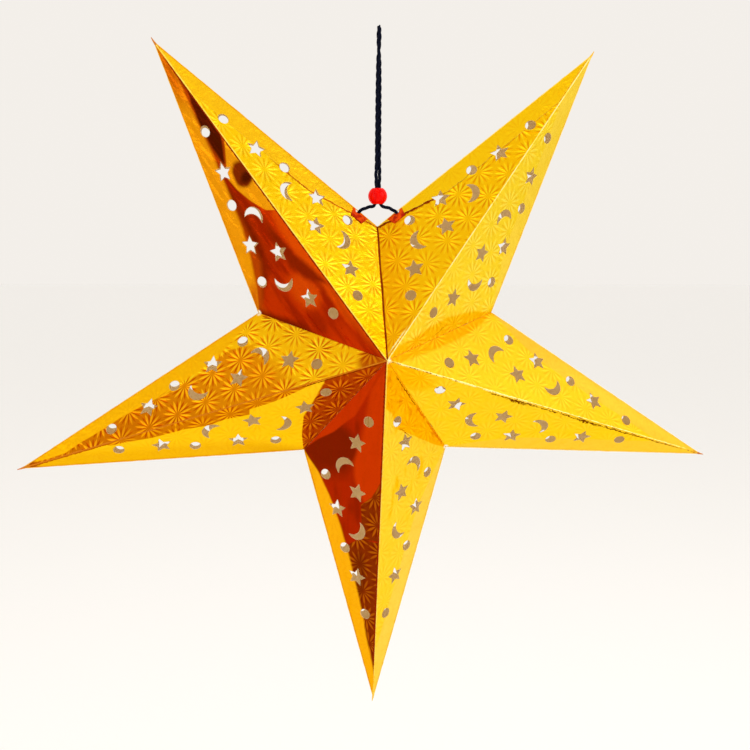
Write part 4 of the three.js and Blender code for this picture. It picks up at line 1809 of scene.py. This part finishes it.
# %% Finish the tape, the bead and the cord
def tape_finish():
    material, tree, shader = new_finish("tape_red", (0.8, 0.08, 0.01), 0.4)
    wrinkles = noise(tree, object_place(tree), 330.0, 4.0, 0.6)
    feed(tree, shader, {
        # The red is darker where the wrinkles dip: painted shade in their hollows.
        "Base Color": mix(tree, ramp(tree, wrinkles, 0.4, 0.62),
                          (0.42, 0.012, 0.0, 1), (0.8, 0.075, 0.0, 1)),
        "Specular IOR Level": 0.04,
        "Coat Weight": 0.03,
        "Coat Roughness": 0.12,
        "Normal": bump(tree, wrinkles, 0.7, 0.0008),
    })
    return material


def bead_finish():
    material, tree, shader = new_finish("bead_red_lacquer", (0.8, 0.005, 0.008), 0.25)
    grain = noise(tree, stretched(tree, object_place(tree), (1, 1, 0.2)), 700.0, 4.0, 0.6)
    feed(tree, shader, {
        "Base Color": mix(tree, ramp(tree, grain, 0.3, 0.7),
                          (0.78, 0.0, 0.0, 1), (1.0, 0.004, 0.0, 1)),
        "Specular IOR Level": 0.06,
        "Coat Weight": 0.03,
        "Coat Roughness": 0.12,
        "Normal": bump(tree, grain, 0.25, 0.0002),
    })
    return material


def cord_finish():
    material, tree, shader = new_finish("cord_navy_yarn", (0.01, 0.015, 0.05), 0.7)
    lay = put(tree, "UVMap", uv_map="lay").outputs[0]
    threads = put(tree, "TexWave", {"Vector": stretched(tree, lay, (9, 5, 1), 0.6), "Scale": 1.0,
                                    "Distortion": 1.5, "Detail": 2.0}).outputs[1]
    fuzz = noise(tree, lay, 40.0, 4.0, 0.7)
    navy = mix(tree, threads, (0.0005, 0.001, 0.004, 1), (0.003, 0.007, 0.035, 1))
    feed(tree, shader, {
        "Base Color": mix(tree, ramp(tree, fuzz, 0.55, 0.8), navy, (0.006, 0.018, 0.08, 1)),
        "Specular IOR Level": 0.06,
        "Sheen Weight": 0.02,
        "Sheen Roughness": 0.4,
        "Normal": bump(tree, threads, 0.9, 0.0002),
    })
    return material


tape_red, bead_red, cord_navy = tape_finish(), bead_finish(), cord_finish()
print("other finishes", [finish.name for finish in (tape_red, bead_red, cord_navy)])

# %% [markdown]
# ## Dressing the pieces
# A piece of card has three slots, for its foil, its bare inside and its cut edges, and
# all other pieces have one. The hidden back takes the plain finish that is nearest to
# the panel in front of it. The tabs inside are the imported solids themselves, and only
# get their card.

# %% Give every piece its finish
back_foils = {"top_left_back_outer": "copper", "bottom_back_left": "copper",
              "left_back_upper": "amber", "top_right_back_inner": "amber"}
pale_tips = ("top_right", "bottom")


def dress(piece, finish):
    piece.data.materials.clear()
    piece.data.materials.append(finish)


def dress_card(piece, foil, inside, edge):
    for slot, finish in ((foil_slot, foil), (inside_slot, inside), (edge_slot, edge)):
        piece.material_slots[slot].material = finish


for name, panel in panels.items():
    foil = foils[name if name in foils else back_foils.get(name, "yellow")]
    dress_card(panel, foil, inside_card, cut_card)
for (arm, face), fold in ridge_folds.items():
    dress(fold, ridge_finishes[arm if face == "front" else "bottom"])
for (arm, side), fold in outline_folds.items():
    dress(fold, outline_finishes["right" if "right" in arm + side else "left"])
for arm, tail in tails.items():
    dress(tail, tail_finishes["pale" if arm in pale_tips else "dark"])
for side, flap in flaps.items():
    dress_card(flap, flap_foils[side], flap_foils[side], flap_edge_and_shade)
for tape in tapes:
    dress(tape, tape_red)
dress(bead, bead_red)
for piece in (cord_eye, *cord_legs.values(), *cord_knots.values()):
    dress(piece, cord_navy)
for name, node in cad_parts.items():
    if name.startswith("tab_"):
        node.material_slots[0].material = tab_card
print("finishes", len(bpy.data.materials))

# %% [markdown]
# ## Floor and light
# A plain pale floor lies well below the star. One large soft light stands for the
# window on the right, a weaker one fills from the left, and a third lies overhead. The
# rest comes from a pale surround, which is also what the foil mirrors.

# %% Lay the floor and set the lights
floor_drop = 0.9
deselect_all()
bpy.ops.mesh.primitive_plane_add(size=24, location=(0, 0, -floor_drop))
floor = name_piece("pale_floor")
floor_finish, _, _ = new_finish("floor_pale", (0.99, 0.99, 0.985), 0.5)
dress(floor, floor_finish)


def soft_light(name, place, size, power, colour):
    deselect_all()
    bpy.ops.object.light_add(type="AREA", location=place)
    light = name_piece(name)
    light.data.shape = "DISK"
    light.data.size = size
    light.data.energy = power
    light.data.color = colour
    aim = star_middle - Vector(place)
    light.rotation_euler = aim.to_track_quat("-Z", "Y").to_euler()


soft_light("window_right", (1.5, -1.0, 0.5), 1.6, 11, (1.0, 0.96, 0.9))
soft_light("fill_left", (-1.6, -0.9, 0.1), 1.4, 4, (1.0, 0.94, 0.88))
soft_light("overhead", (0.2, 0.5, 1.6), 1.6, 7, (1.0, 0.97, 0.93))
world = bpy.data.worlds.new("pale_surround")
bpy.context.scene.world = world
world.use_nodes = True
surround = world.node_tree.nodes["Background"]
surround.inputs["Color"].default_value = (1, 0.96, 0.91, 1)
surround.inputs["Strength"].default_value = 0.9
print("lights", len(bpy.data.lights), "floor at mm", in_mm(floor.location.z))
